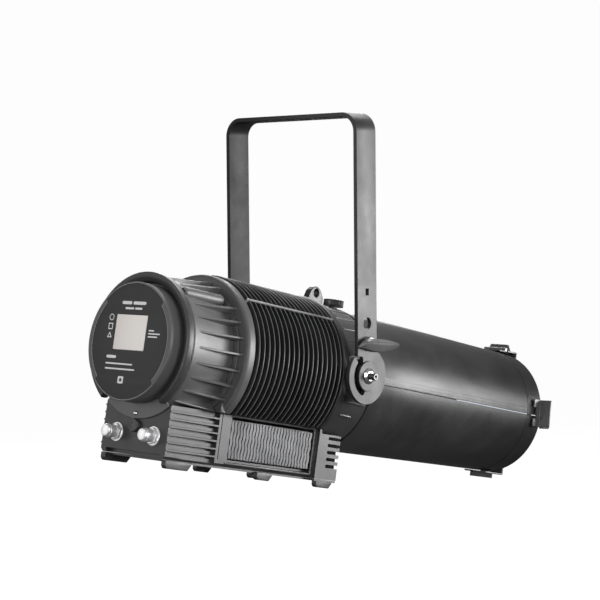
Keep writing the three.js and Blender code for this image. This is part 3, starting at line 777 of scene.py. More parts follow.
# under the display the rear wall steps forward and carries on down over the base
cut(casing, lathe("step", [(50, -300), (95, -300), (95, -296.4), (50, -296.4)], 60, GAP))
union(casing, lathe("apron", fillet([
    (59, -296.6, 0), (94.5, -296.6, 0.9), (94.5, -294.3, 0), (59, -294.3, 0),
]), 60, GAP))
union(casing, casing_ribs)
for _, a in SCREWS:
    union(casing, rod("boss", "y", [
        (0, -297), (5.5, -297), (7.4, -294.5), (7.8, -290), (7.8, -232), (7.2, -229.4),
        (5.6, -229), (0, -229),
    ], polar(86.5, a)))
    cut(casing, pin("hole", "y", 4.3, (-242, -226), polar(88, a), 32, 0.1))
place(casing, CASING, "rear_casing")

for side_name, a in SCREWS:
    screw = rod("casing_screw_head_" + side_name, "y", [
        (0, -241.6), (3.6, -241.6), (3.8, -241.2), (3.8, -234.4), (3.2, -233.4), (0, -233.4),
    ], polar(88, a), 36)
    cut(screw, plate("socket", "y", circle(polar(88, a), 2.0, 6), (-237, -232)))
    place(screw, BLACK_STEEL, "casing_screw_" + side_name)

panel_screw = rod("panel_screw_head", "y", [
    (0, -300.0), (1.2, -299.9), (2.2, -299.4), (2.8, -298.4), (2.9, -297.4), (2.9, -292.5),
    (0, -292.5),
], (0, -87.8), 32)
place(panel_screw, STEEL, "panel_screw")


def cut_flat(ob):
    """Cuts a round piece flat underneath, where the base sits."""
    return cut(ob, block("below", (-130, 130), (-240, 60), (-160, FLAT_U)))


# Flange ring. Columns: r, s, corner radius
flange = lathe("rear_flange", fillet([
    (70, -221.6, 0), (84.2, -221.6, 0), (84.2, -220.6, 0), (88.6, -220.2, 0.5),
    (88.6, -218.4, 0.5), (86, -218, 0), (86, -217.4, 0.3), (99.5, -217.8, 0.8),
    (102.4, -217, 0.8), (103.7, -215.2, 0.8), (104, -213.4, 0.8), (104, -204.2, 0.8),
    (70, -204.2, 0),
]), 168)
cut_flat(flange)
for side in (1, -1):
    union(flange, block("nub", sided(side, 72.3, 75.3), (-223, -214), (-72.6, -61), 0.4))
place(flange, BAND, "flange_ring")

# Heat sink: bored core, thin fins with rounded rims, two tie bars and a front plug
FIN_COUNT, FIN_PITCH, FIN_START = 18, 9.42, -198
CORE_R, CORE_BORE, FIN_R = 62, 46, 106
fin_profile = [(CORE_BORE, -203.6), (CORE_R, -203.6)]
for k in range(FIN_COUNT):
    s = FIN_START + k * FIN_PITCH
    fin_profile += [
        (CORE_R, s - 1.2), (104.9, s - 0.9), (105.7, s - 0.6), (FIN_R, s),
        (105.7, s + 0.6), (104.9, s + 0.9), (CORE_R, s + 1.2),
    ]
fin_profile += [(CORE_R, -32.6), (CORE_BORE, -32.6)]
sink = lathe("heat_sink_fins", fin_profile, 132)
cut_flat(sink)
for a in (45, 135):
    union(sink, turn(block("tie", (60, 107.2), (-203.2, -33), (-1.5, 1.5), 0.5), a))
union(sink, pin("plug", "y", 50, (-69.9, -33.0), (0, 0), 64, 0.2))
# marks the outermost fin vertices where the painted highlight goes
rim = sink.data.attributes.new("rim", "FLOAT", "POINT")
rim.data.foreach_set("value", [
    1.0 if math.hypot(v.co.x, v.co.z) > FIN_R - 0.12 else 0.0 for v in sink.data.vertices
])
place(sink, FINS, "heat_sink")

# Front ring. Columns: r, s, corner radius
ring = lathe("front_ring_casting", fillet([
    (70, -32.2, 0), (105.8, -32.2, 0.8), (107, -29.5, 1.5), (106.4, -21, 4),
    (101.4, -14.4, 1.0), (70, -14.4, 0),
], steps=4), 168)
cut_flat(ring)
for side in (1, -1):
    # room for the pivot boss
    cut(ring, pin("clearance", "x", 25.5, sided(side, 92, 120), PIVOT_AT, 64, 0.1))
place(ring, CAST, "front_ring")

# ------------------------------------------------------------------ gate collar
# Collar. Columns: r, s, corner radius
collar = lathe("gate_collar_casting", fillet([
    (BODY_BORE, -13.8, 0), (99.0, -13.8, 0.8), (100, -12.2, 1), (100, 37.6, 1),
    (99.2, 39, 0.5), (BODY_BORE, 39, 0),
], steps=4), 168)
# Rib section: offset across, drop below the crest
COLLAR_RIB = [(-1.9, None), (1.9, None), (1.4, 0.45), (0.9, 0), (-0.9, 0), (-1.4, 0.45)]
# Ribs: angle in degrees, rear end s, front end s
COLLAR_RIBS = [(a, -9, 35) for a in (66, 54, 42, 30, 114, 126, 138, 150)]
COLLAR_RIBS += [(-19.4, -7, 33), (-30.7, -8, 15), (199.4, -7, 33), (210.7, -8, 15)]
union(collar, merge("collar_ribs", [
    rib(COLLAR_RIB, 97,
        [(rear, 99.2, 1), (rear + 4, 100.9, 1), (front - 4, 102.3, 1), (front, 102.3, 1)], a)
    for a, rear, front in COLLAR_RIBS
]))
for side in (1, -1):
    boss = rod("boss", "x", [
        (0, 90), (27, 90), (26, 97), (25, 104), (25, 110.6), (23.8, 112), (0, 112),
    ], PIVOT_AT, 72)
    if side < 0:
        mirror(boss)
    union(collar, boss)
cut(collar, pin("bore", "y", BODY_BORE, (-60, 90), (0, 0), 168, 0.1))
place(collar, COLLAR, "gate_collar")

# Lug on top with an oval eye. Columns: s, u, corner radius
LUG = [
    (-12, 101, 0), (22, 101, 0), (21, 112, 6), (16, 119.5, 8), (11, 123.8, 8),
    (5.5, 125.8, 8), (0, 124.3, 8), (-6, 119, 8), (-9, 111, 6),
]
eye = [(5.9 + 4.9 * math.cos(t), 116.3 + 5.9 * math.sin(t))
       for t in [2 * math.pi * i / 36 for i in range(36)]]
lug = plate("safety_loop_lug", "x", fillet(LUG, steps=4), (-5, 5), 1.1, [eye], 3)
place(lug, CAST, "safety_loop")

# ------------------------------------------------------------------ pivot hardware
# Profiles: r, x outwards along the tilt axis
PAD_PROFILE = [(0, 112.3), (14.6, 112.3), (15, 112.7), (15, 114.8), (14.6, 115.2), (0, 115.2)]
HUB_PROFILE = [(0, 121.8), (20.2, 121.8), (20.5, 122.1), (20.5, 123.1), (20.0, 123.6),
               (0, 123.6)]
CUP_PROFILE = [(0, 123.9), (10.2, 123.9), (10.8, 124.2), (10.7, 124.7), (7.6, 126.6),
               (6.9, 126.9), (0, 126.9)]
THREAD_START, THREAD_PITCH = 124.6, 1.2
STUD_PROFILE = [(0, 112.4), (4.8, 112.4), (5, 112.7), (5, 124)]
for k in range(9):
    x = THREAD_START + k * THREAD_PITCH
    STUD_PROFILE += [(4.55, x), (5.0, x + 0.45), (5.0, x + 0.6), (4.55, x + 1.05)]
STUD_PROFILE += [(4.6, 135.6), (4.1, 136), (0, 136)]


def pivot_hardware(side_name, side):
    """Friction pad, stud, hub disc, cup washer and guide pin; drawn at +X, flipped for left."""
    mirrored = LAMP @ Matrix.Scale(side, 4, (1, 0, 0))

    def fit(ob, material, node):
        place(ob, material, node + side_name, frame=mirrored)
        # turns flipped normals out again; in metres this also merges vertices within 0.3 mm
        recalc(ob)

    pad = rod("pivot_pad_" + side_name, "x", PAD_PROFILE, PIVOT_AT, 48)
    cut(pad, pin("hole", "x", 5.35, (110, 118), PIVOT_AT, chamfer=0.1))
    fit(pad, PAD, "friction_disc_")

    stud = rod("pivot_stud_end_" + side_name, "x", STUD_PROFILE, PIVOT_AT)
    cut(stud, pin("socket", "x", 2.7, (129, 140), PIVOT_AT, 6))
    fit(stud, BLACK_STEEL, "pivot_stud_")

    hub = rod("hub_disc_plate_" + side_name, "x", HUB_PROFILE, PIVOT_AT, 96)
    cut(hub, pin("hole", "x", 5.35, (120, 128), PIVOT_AT))
    fit(hub, YOKE_PAINT, "hub_disc_")

    washer = rod("pivot_cup_washer_" + side_name, "x", CUP_PROFILE, PIVOT_AT, 64)
    cut(washer, pin("hole", "x", 5.3, (120, 128), PIVOT_AT))
    fit(washer, STEEL, "pivot_washer_")

    s, u = polar(SLOT_RADIUS, 198)
    guide = pin("guide_pin_end_" + side_name, "x", 3.2, (112.3, 117.6), (s, u + PIVOT_U),
                32, 0.5)
    fit(guide, BLACK_STEEL, "guide_pin_")


for side_name, side in (("left", -1), ("right", 1)):
    pivot_hardware(side_name, side)

# ------------------------------------------------------------------ base box
HALF = 61.0         # half width of the base
FRONT_HALF = 66.0   # half width of its front block
BASE_U = (-140.2, -73)
CONNECTOR_X, CONNECTOR_U = 34.0, -113.5
VENT_AT = (0, -103)
GRILLE_FRONT_S = -24

base = block("base", (-HALF, HALF), (-294, 23), BASE_U)
union(base, block("front", (-FRONT_HALF, FRONT_HALF), (-18, 26.6), BASE_U))
# corners and edges are rounded before the details are cut
soften(base, width=0.7, angle=50, steps=3)
narrow, wide = (-HALF + 11, HALF - 11), (-HALF + 3, HALF - 3)
cut(base, block("rear_cavity", narrow, (-291, -192), (-131, -76)))
cut(base, block("front_cavity", wide, (-192, 21), (-131, -76)))
cut(base, block("open_bottom", narrow, (-280, 21), (-150, -128)))
for side in (1, -1):
    cut(base, block("window", sided(side, 52, HALF + 2), (-186, GRILLE_FRONT_S),
                    (-134.4, -75.4)))
# round seats for the casing, the apron and the collar, then a round opening in the top
cut(base, pin("seat", "y", 92.6, (-302, -214.4), (0, 0), 168))
cut(base, pin("seat", "y", 94.9, (-302, -293.2), (0, 0), 168))
cut(base, pin("seat", "y", 102.9, (-14.1, 60), (0, 0), 168))
cut(base, pin("opening", "z", 44, (-80, -70), (0, -110), 64))
for side in (1, -1):
    cut(base, pin("hole", "y", 8, (-300, -285), (side * CONNECTOR_X, CONNECTOR_U)))
cut(base, pin("hole", "y", 3.6, (-300, -285), VENT_AT, 24))
cut(base, block("notch", (-50, 52), (-300, -286), (-150, -134.5)))


def side_pocket(side, rear, rear_inset, front_inset, u_span):
    """Cuts a tapered pocket into a side wall, up to s = -208."""
    front = -208
    outside = side * (HALF + 2)
    plan = [(outside, rear), (outside, front), (side * (HALF - front_inset), front),
            (side * (HALF - rear_inset), rear)]
    cut(base, plate("pocket", "z", plan, u_span))


# Fins left along the rear part of each side by pockets that deepen forwards
FIN_U = [-80.5, -89.8, -99.3, -109.2, -119.0, -128.8]
POCKET_EDGES = [-71.0] + FIN_U + [-137.6]
FIN_HALF_HEIGHT = 1.0
# Upright groove across the fins on each side: x span
GROOVE_X = {1: (HALF - 2.8, HALF + 2), -1: (-HALF - 2, -HALF + 1.4)}
# Round-ended slots in the front block: u, half height
FRONT_SLOTS = ((-84, 1.9), (-93.4, 2.1), (-102.8, 2.1), (-112.3, 2.1), (-121.7, 2.1))
for side in (1, -1):
    for k in range(len(FIN_U) + 1):
        top = POCKET_EDGES[k] - (FIN_HALF_HEIGHT if k else 0.0)
        bottom = POCKET_EDGES[k + 1] + (FIN_HALF_HEIGHT if k < len(FIN_U) else 0.0)
        side_pocket(side, -296, 1.5, 5.6, (bottom, top))
        if k:
            # deeper gap tucked under each fin
            side_pocket(side, -291, 4.5, 9.5, (top - 3.2, top + 0.01))
        if k < len(FIN_U):
            # shallower gap just above each fin
            side_pocket(side, -291, 3.4, 8, (bottom - 0.01, bottom + 0.7))
    cut(base, block("groove", GROOVE_X[side], (-203.6, -202.4), (-132, -72)))
    # lower band leans inwards
    lean = [(side * (HALF + 2), -136.7), (side * (HALF - 2.4), -136.7),
            (side * (HALF - 6.4), -141), (side * (HALF + 2), -141)]
    cut(base, plate("lean", "y", lean, (-300, -20)))
    for u, half in FRONT_SLOTS:
        cut(base, plate("slot", "x", rect(1, 60, u - half - 0.2, u + half + 0.2, half * 0.98, 5),
                        sided(side, FRONT_HALF - 8, FRONT_HALF + 2)))
for side in (1, -1):
    # thin rails above and below each grille window
    rail_x = sided(side, HALF - 1, HALF + 0.9)
    union(base, block("rail", rail_x, (-187, -23), (-75.3, -73.5), 0.25))
    union(base, block("rail", rail_x, (-190, -23), (-136.6, -134.5), 0.25))
soften(base, width=0.3, angle=30, steps=1)
place(base, CAST, "base_housing")

# Painted shadow: matt black cores close the view through the box and sit deep in the front slots,
# where there is only shade
cores = []
for side in (1, -1):
    cores.append(block("web", sided(side, 48.6, 50.8), (-190, -20), (-139.4, -78), 0.2))
    cores.append(block("ledge", sided(side, 50.6, 58.6), (-185.8, -24.2), (-134.3, -133.7), 0.1))
    cores.append(block("void", sided(side, FRONT_HALF - 9, FRONT_HALF - 3.2), (3, 23.6),
                       (-126, -80), 0.2))
place(merge("base_shadow_core", cores), SHADOW_FILL)

# Bottom plate and feet
BOTTOM_U = (-143.2, -140.5)
bottom = block("bottom_plate", (-HALF + 6.4, HALF - 6.4), (-285.6, 23), BOTTOM_U)
union(bottom, block("front", (-FRONT_HALF + 0.4, FRONT_HALF - 0.4), (-17.6, 26.2), BOTTOM_U))
for x_span in ((-55, -50.2), (52.1, 55)):
    union(bottom, block("tongue", x_span, (-293.6, -280), BOTTOM_U))
# Feet: rear end s, front end s, outer face x
FEET = ((-292, -245, HALF - 0.6), (-125, -94, HALF - 0.6), (-13, 22, FRONT_HALF - 0.6))
for side in (1, -1):
    for rear, front, outer_x in FEET:
        foot = plate("foot", "x", fillet([
            (rear, -141, 0), (front, -141, 0), (front - 2, -145, 1), (front - 7, -151.5, 2),
            (rear + 3, -151.5, 2), (rear, -148, 2),
        ]), (outer_x - 8, outer_x), 1.0, steps=3)
        if side < 0:
            mirror(foot)
        union(bottom, foot)
place(bottom, CAST, "base_plate")

# ------------------------------------------------------------------ side grilles
SLAT_COUNT, SLAT_STEPS = 27, 14
SLAT_U, SLAT_HEIGHT = -128.6, 48.6
SLATS_REAR, SLATS_FRONT = -184.0, -26.0
SLAT_PITCH = (SLATS_FRONT - SLATS_REAR) / SLAT_COUNT
SLAT_HALF = SLAT_PITCH * 0.462
WAVE = 0.7  # sideways swing of a slat, three periods over its height
# Slat section: x, part of the half width along s
SLAT_SECTION = [(56.8, -1), (59.2, -0.96), (59.7, -0.7), (59.7, 0.7), (59.2, 0.96), (56.8, 1)]


def slat(side, k):
    centre = SLATS_REAR + (k + 0.5) * SLAT_PITCH
    sections = []
    for i in range(SLAT_STEPS + 1):
        u = SLAT_U + i * (SLAT_HEIGHT / SLAT_STEPS)
        swing = WAVE * math.sin(i / SLAT_STEPS * math.pi * 6 + k * 0.6)
        sections.append([(side * x, centre + SLAT_HALF * part + swing, u)
                         for x, part in SLAT_SECTION])
    return loft("slat", sections)


for side_name, side in (("left", -1), ("right", 1)):
    parts = [slat(side, k) for k in range(SLAT_COUNT)]
    for u_span in ((-129.6, -128.4), (-80.2, -79.0)):
        parts.append(block("rail", sided(side, 56.3, 57.2), (-185.6, -24.4), u_span, 0.3))
    grille = merge("side_grille_slats_" + side_name, parts)
    place(grille, GRILLE, "side_grille_" + side_name)

# ------------------------------------------------------------------ connectors
# Profiles: r, s
CONNECTOR_PROFILE = [(0, -304), (6.9, -304), (7.3, -303.6)]
for k in range(4):
    s = -303.4 + k * 1.2
    CONNECTOR_PROFILE += [(7.6, s), (7.6, s + 0.4), (7.15, s + 0.7), (7.15, s + 0.9)]
CONNECTOR_PROFILE += [(7.6, -298.4), (7.6, -280), (0, -280)]
CAP_PROFILE = [
    (0, -315), (5.2, -314.9), (7.0, -314.4), (8.0, -313.2), (8.3, -312.0), (8.3, -311.2),
    (7.8, -310.9), (7.8, -310.2), (8.5, -309.8), (8.6, -301.4), (8.2, -300.4), (0, -300.4),
]
KNURL_COUNT = 22


def connector(side_name, side):
    """Threaded barrel with a hexagonal nut and a round flange, and its knurled cap."""
    x, u = at = (side * CONNECTOR_X, CONNECTOR_U)
    barrel = rod("connector_thread_" + side_name, "y", CONNECTOR_PROFILE, at, 48)
    union(barrel, plate("nut", "y", fillet(circle(at, 11.0, 6, 0.26), 1.0),
                        (-298.6, -294.3), 0.7, steps=3))
    union(barrel, rod("flange", "y", [
        (0, -295.2), (9.0, -295.2), (12.0, -294.6), (12.2, -294.25), (0, -294.25),
    ], at, 48))
    place(barrel, NICKEL, "connector_" + side_name)

    cap = rod("dust_cap_" + side_name, "y", CAP_PROFILE, at, 64)
    cut(cap, pin("hollow", "y", 7.75, (-304.6, -298), at, 48))
    knurls = []
    for i in range(KNURL_COUNT):
        a = 2 * math.pi * i / KNURL_COUNT
        knurl_at = (x + 8.9 * math.cos(a), u + 8.9 * math.sin(a))
        knurls.append(pin("knurl", "y", 0.55, (-309.4, -299), knurl_at, 10, 0.02))
    cut(cap, merge("knurls", knurls))
    place(cap, NICKEL, "connector_cap_" + side_name, body="cap_" + side_name)


for side_name, side in (("left", -1), ("right", 1)):
    connector(side_name, side)

vent = rod("vent_plug_body", "y", [
    (0, -296.0), (7.6, -296.0), (7.8, -295.6), (7.8, -294.3), (3.3, -294.3), (3.3, -288),
    (0, -288),
], VENT_AT, 48)
union(vent, plate("hexagon", "y", fillet(circle(VENT_AT, 9.0, 6, 0.52), 0.9),
                  (-299.4, -295.8), 0.6))
cut(vent, rod("dish", "y", [(0, -301), (4.6, -301), (4.2, -298.8), (0, -298.7)], VENT_AT, 36))
place(vent, PLASTIC, "vent_plug")

# ------------------------------------------------------------------ lens tube
TUBE_REAR, TUBE_FRONT = 40.4, 462
KNOB_S = 50


def tube_r(s):
    """Outer radius of the tube, tapering forwards."""
    return 100.1 - 5.9 * (s - TUBE_REAR) / 421.6


# Outer wall: rear collar, taper, shallow groove, front end; then the inner wall. Columns: r, s
TUBE_PROFILE = [
    (tube_r(TUBE_REAR) - 0.6, TUBE_REAR), (tube_r(41) + 0.5, 41.2), (tube_r(45) + 0.5, 45.5),
    (tube_r(47), 47.2), *[(tube_r(s), s) for s in (120, 200, 280, 360, 423)],
    (tube_r(423.6) - 0.5, 423.7), (tube_r(424.6) - 0.5, 424.5), (tube_r(425.2), 425.2),
    (tube_r(461), 461.2), (tube_r(TUBE_FRONT) - 0.8, TUBE_FRONT),
    (tube_r(TUBE_FRONT) - 2.9, TUBE_FRONT), (tube_r(300) - 3, 300), (tube_r(50) - 3, 50),
    (93.1, 48), (93.1, TUBE_REAR),
]
# Seam sections on the upper half
GROOVE_SECTION = [(-0.55, -0.45), (2.0, -0.45), (2.0, 0.45), (-0.55, 0.45)]  # out, up
LIP_SECTION = [(-1.2, 0.16), (0.55, 0.16), (0.55, 1.1), (0.2, 1.5), (-1.2, 1.5)]  # out, u


def seam_groove(side, height):
    sections = []
    for s in (52, 418):
        r = tube_r(s)
        x = r * math.cos(math.asin(height / r))
        sections.append([(side * (x + out), s, height + up) for out, up in GROOVE_SECTION])
    return loft("groove", sections)


def seam_lip(side):
    return loft("lip", [[(side * (tube_r(s) + out), s, u) for out, u in LIP_SECTION]
                        for s in (50, 420)])


# the upper half has two grooves above each seam and a lip along its edges
upper = lathe("tube_upper_half", TUBE_PROFILE, 96, (0.09, 180 - 0.09))
for side in (1, -1):
    for height in (4.6, 9.2):
        cut(upper, seam_groove(side, height))
for side in (1, -1):
    union(upper, seam_lip(side))
cut(upper, pin("knob_hole", "z", 3.35, (85, 112), (0, KNOB_S), 32))
place(upper, TUBE, "tube_upper_shell", body="lens_tube", sharp=28)

lower = lathe("tube_lower_half", TUBE_PROFILE, 96, (180 + 0.62, 360 - 0.62))
place(lower, TUBE, "tube_lower_shell", body="lens_tube", sharp=28)


def lens_face(pole, sag, radii, edge):
    """Parabolic lens surface: s at the pole, and its change out to the edge radius."""
    return [(r, pole + sag * (r / edge) ** 2) for r in radii]


REAR_RADII = (0, 20, 40, 60, 75, 86, BODY_BORE)
FRONT_LENS_R = 90.6
rear_lens = lathe_solid("rear_lens_glass", lens_face(222, 18, REAR_RADII, BODY_BORE)
                        + lens_face(253, -8, REAR_RADII[::-1], BODY_BORE), 96)
place(rear_lens, GLASS, "rear_lens", body="lens_tube")
front_face = lens_face(418, 14, (0, 20, 40, 60, 75, 84, FRONT_LENS_R), FRONT_LENS_R)
front_lens = lathe_solid("front_lens_glass", front_face
                         + [(FRONT_LENS_R, 436.6), (90.2, 437), (0, 437)], 96)
place(front_lens, GLASS, "front_lens", body="lens_tube")
retainer = lathe("lens_retaining_ring", fillet([
    (85.5, 437.5), (FRONT_LENS_R, 437.5), (FRONT_LENS_R, 441.5), (86.2, 441.5),
], 0.4), 128)
place(retainer, BLACK_STEEL, "lens_retainer", body="lens_tube")

# Knurled focus knob on top: toothed rim, dished top and shaft. Profiles: r, u
teeth = []
for i in range(96):
    r = 14.4 if i % 2 else 13.5
    a = 2 * math.pi * i / 96
    teeth.append((r * math.cos(a), KNOB_S + r * math.sin(a)))
knob = plate("focus_knob_grip", "z", teeth, (103.6, 113.2), 0.5)
union(knob, rod("dish", "z", [
    (0, 112.6), (11.8, 112.6), (12.2, 113.0), (11.6, 113.4), (9.6, 113.1), (0, 113.0),
], (0, KNOB_S), 64))
union(knob, rod("shaft", "z", [
    (0, 96), (3.1, 96), (3.2, 96.3), (3.2, 100.6), (6, 100.8), (6.4, 104.2), (0, 104.2),
], (0, KNOB_S)))
place(knob, KNOB, "focus_knob", body="focus_knob")

# ------------------------------------------------------------------ accessory brackets
BRACKET_R = 94.2 + 0.9  # inner face, just off the tube's front radius
SHEET = 2.4
BRACKET_OUT = BRACKET_R + SHEET
BRACKET_HALF = 21       # half width
BRACKET_TIP = 484       # s of the front face
LIP_BACK = BRACKET_TIP - SHEET


def bracket(name, ear):
    """Strap with an outward ear and a front lip turned in; drawn at +X."""
    # Columns: r, s, corner radius
    outline = fillet([
        (BRACKET_R, 438, 0.3), (BRACKET_OUT, 438, 0.3), (BRACKET_OUT, 454, 0.5),
        (BRACKET_R + ear, 454, 0.6), (BRACKET_R + ear, 456.4, 0.6), (BRACKET_OUT, 456.4, 0.8),
        (BRACKET_OUT, BRACKET_TIP, 2.2), (80, BRACKET_TIP, 0.6), (80, LIP_BACK, 0.6),
        (BRACKET_R, LIP_BACK, 1.0),
    ])
    ob = plate(name, "z", outline, (-BRACKET_HALF, BRACKET_HALF), 0.35)
    notch = fillet([(430, -9, 0), (446, -9, 1.6), (446, 9, 1.6), (430, 9, 0)], steps=4)
    cut(ob, plate("notch", "x", notch, (BRACKET_R - 3, BRACKET_R + 5)))
    if ear > 15:
        # a square and a round recess in the rear of the ear
        square = rect(BRACKET_R + 3, BRACKET_R + 7.4, 12, 16.4, 0.6)
        cut(ob, plate("recess", "y", square, (453, 455.6)))
        cut(ob, pin("recess", "y", 2.4, (453, 455.6), (BRACKET_R + 5.2, -8), 28))
    return ob


# Columns: place, ear height, angle in degrees, material
for where, ear, a, material in (
    ("right", 21, 2.1, EAR),
    ("left", 21, 177.9, EAR),
    ("bottom", 9.5, -90, BRACKET),
):
    place(turn(bracket("ear_bracket_" + where, ear), a), material, "bracket_" + where,
          body="lens_tube")

# Latch on top: hinged base, pin and front plate
HINGE_S, HINGE_U = HINGE = (454, 99.6)
latch_base = block("latch_base", (-BRACKET_HALF, BRACKET_HALF), (436, 450.4),
                   (BRACKET_R, BRACKET_OUT), 0.5)
for x_span in ((-BRACKET_HALF, -8), (8, BRACKET_HALF)):
    union(latch_base, block("arm", x_span, (447, HINGE_S), (BRACKET_R + 0.4, BRACKET_R + 3.4),
                            0.3))
    union(latch_base, pin("knuckle", "x", 3.4, x_span, HINGE, 36, 0.4))
cut(latch_base, pin("hole", "x", 1.9, (-24, 24), HINGE, 24))
place(latch_base, BRACKET, "latch_bracket", body="lens_tube")
hinge_pin = pin("latch_hinge_pin", "x", 1.6, (-20.5, 20.5), HINGE, 24, 0.3)
place(hinge_pin, STEEL, "latch_pin", body="lens_tube")

# Columns: s, u, corner radius
latch = plate("top_latch", "x", fillet([
    (458.2, 99, 0.5), (BRACKET_TIP, 99, 2.0), (BRACKET_TIP, 82.6, 0.6), (LIP_BACK, 82.6, 0.6),
    (LIP_BACK, 96.6, 1.0), (458.2, 96.6, 0.3),
]), (-BRACKET_HALF, BRACKET_HALF), 0.4)
union(latch, block("link", (-7.6, 7.6), (HINGE_S, 461), (HINGE_U - 3, HINGE_U + 0.3), 0.3))
union(latch, pin("knuckle", "x", 3.4, (-7.6, 7.6), HINGE, 36, 0.4))
tab = fillet([(-21, 97.5, 0), (21, 97.5, 0), (15.5, 109, 3.0), (-15.5, 109, 3.0)], steps=4)
union(latch, plate("tab", "y", tab, (460.6, 467), 0.9, steps=3))
cut(latch, pin("hole", "x", 1.68, (-12, 12), HINGE, 24))
# flattened dimple in the rear of the tab
DIMPLE_U = 104.6
dimple = rod("dimple", "y", [
    (0, 459.0), (6, 459.0), (6.8, 460.2), (6.4, 461.4), (0, 461.6),
], (0, DIMPLE_U))
dimple.data.transform(
    Matrix.Translation((0, 0, DIMPLE_U))
    @ Matrix.Scale(0.55, 4, (0, 0, 1))
    @ Matrix.Translation((0, 0, -DIMPLE_U))
)
cut(latch, dimple)
place(latch, BRACKET, "accessory_latch", body="accessory_latch")

# ------------------------------------------------------------------ yoke
YOKE_OUT = 121.5        # half width over the arms
STRAP = 6.0             # strap thickness
YOKE_TOP = 354.0
BEND = 26.0             # outer radius of the top corners
SLOT_WIDTH = 9.8
LEVER_AT = (0.0, 44.5)  # (y, z) of the lever bolt
YOKE_IN = YOKE_OUT - STRAP
BEND_X, BEND_Z = YOKE_OUT - BEND, YOKE_TOP - BEND


def bend(x, radius, start, end):
    """Corner arc of the strap outline, angles in degrees."""
    points = []
    for i in range(21):
        dx, dz = polar(radius, start + (end - start) * i / 20)
        points.append((x + dx, BEND_Z + dz))
    return points


strap = [(YOKE_OUT, -2)]
strap += bend(BEND_X, BEND, 0, 90) + bend(-BEND_X, BEND, 90, 180)
strap += [(-YOKE_OUT, -2), (-YOKE_IN, -2)]
strap += bend(-BEND_X, BEND - STRAP, 180, 90) + bend(BEND_X, BEND - STRAP, 90, 0)
strap += [(YOKE_IN, -2)]
yoke = plate("yoke_strap", "y", strap, (-20, 20), 0.7, steps=3)

# Curved slot that opens through the arm's rear edge. Columns: y, z, corner radius
SLOT_MOUTH = [
    (-21, 22.6, 0), (-27, 27.4, 3), (-36, 32, 0), (-32, 44, 0),
    (-20.05, 44, 0), (-20.05, 28.5, 1.5), (-10, 27, 2), (-8.8, 22, 0),
]
slot = [polar(SLOT_RADIUS + SLOT_WIDTH / 2, a) for a in range(240, 134, -5)]
slot += fillet(SLOT_MOUTH, steps=4)
slot += [polar(SLOT_RADIUS - SLOT_WIDTH / 2, a) for a in range(124, 241, 4)]
for side in (1, -1):
    x0, x1 = sided(side, YOKE_IN, YOKE_OUT)
    through = (x0 - 3, x1 + 3)
    union(yoke, pin("disc", "x", 38.5, (x0, x1), (0, 0), 96, 0.6))
    cut(yoke, plate("slot", "x", slot, through))
    cut(yoke, pin("slot_end", "x", SLOT_WIDTH / 2, through, polar(SLOT_RADIUS, 240), 32, 0.02))
    cut(yoke, pin("pivot_hole", "x", 5.1, through, (0, 0), 48, 0.02))
    cut(yoke, plate("square_hole", "x", rect(-3.4, 3.4, 108.7, 118.3, 0.5), through))
    cut(yoke, pin("round_hole", "x", 8.3, through, (0, 71), 48, 0.02))
cut(yoke, pin("bolt_hole", "x", 4.3, (YOKE_IN - 3, YOKE_OUT + 3), LEVER_AT, 32, 0.02))
cut(yoke, pin("top_hole", "z", 6.5, (YOKE_TOP - 9, YOKE_TOP + 3), (0, 0), 48, 0.02))
soften(yoke, width=0.35, angle=40, steps=2)
place(yoke, YOKE_PAINT, "yoke", body="yoke", frame=YOKE)

bolt = pin("lever_bolt_shank", "x", 4, (111, 126), LEVER_AT, 32, 0.3)
union(bolt, plate("head", "x", fillet(circle(LEVER_AT, 7.0, 6), 0.8, 2), (107.4, 112), 0.5))
place(bolt, BLACK_STEEL, "lever_bolt", body="yoke", frame=YOKE)
washer = pin("lever_washer_ring", "x", 9, (121.8, 123.3), LEVER_AT, 48, 0.3)
cut(washer, pin("hole", "x", 4.3, (119, 126.4), LEVER_AT, 32, 0.02))
place(washer, STEEL, "lever_washer", body="yoke", frame=YOKE)

# Paddle lever: a ridge runs along it, with an upper facet and a steeper underside
# Edges: y, z
LEVER_TOP = [(-24.6, 41.9), (-20, 45.6), (-14, 49.8), (-6, 51.8), (8, 50.4), (26, 48.4),
             (42, 45.2), (54.5, 41.6), (56.6, 39.2)]
LEVER_BOTTOM = [(-24.6, 40.4), (-20, 39.6), (-12, 37.8), (0, 34.2), (17, 31.1), (30, 31.3),
                (44, 32.1), (52, 34.0), (56.6, 36.2)]
LEVER_STATIONS = [-24.6, -21, -17, -12, -6, 0, 7, 15, 23, 31, 39, 46, 51, 54.5, 56.6]  # y


def lever_section(y):
    top = float(np.interp(y, *zip(*LEVER_TOP)))
    bottom = float(np.interp(y, *zip(*LEVER_BOTTOM)))
    h = top - bottom
    full = min(1.0, (y + 26.5) / 10, (59.5 - y) / 6)  # thins out towards both ends
    ridge = 127 + 7 * full
    return [
        (124.6, y, bottom + 0.12 * h), (124.6, y, top - 0.08 * h),
        (126.2 + 1.6 * full, y, top), (ridge - 1.2, y, top - 0.2 * h),
        (ridge, y, top - 0.36 * h), (ridge - 0.5, y, top - 0.5 * h),
        (126.4 + 3.0 * full, y, bottom + 0.06 * h), (125.6, y, bottom),
    ]


lever = loft("lock_lever_paddle", [lever_section(y) for y in LEVER_STATIONS])
union(lever, rod("hub", "x", [
    (0, 123.6), (8.6, 123.6), (9, 124.0), (9, 127.6), (8, 128.4), (0, 128.4),
], LEVER_AT, 48))
soften(lever, width=0.5, angle=24, steps=3)
cut(lever, pin("hole", "x", 4.15, (119, 126.4), LEVER_AT, 32, 0.02))
place(lever, LEVER, "tilt_lever", body="tilt_lever", frame=YOKE, sharp=40)

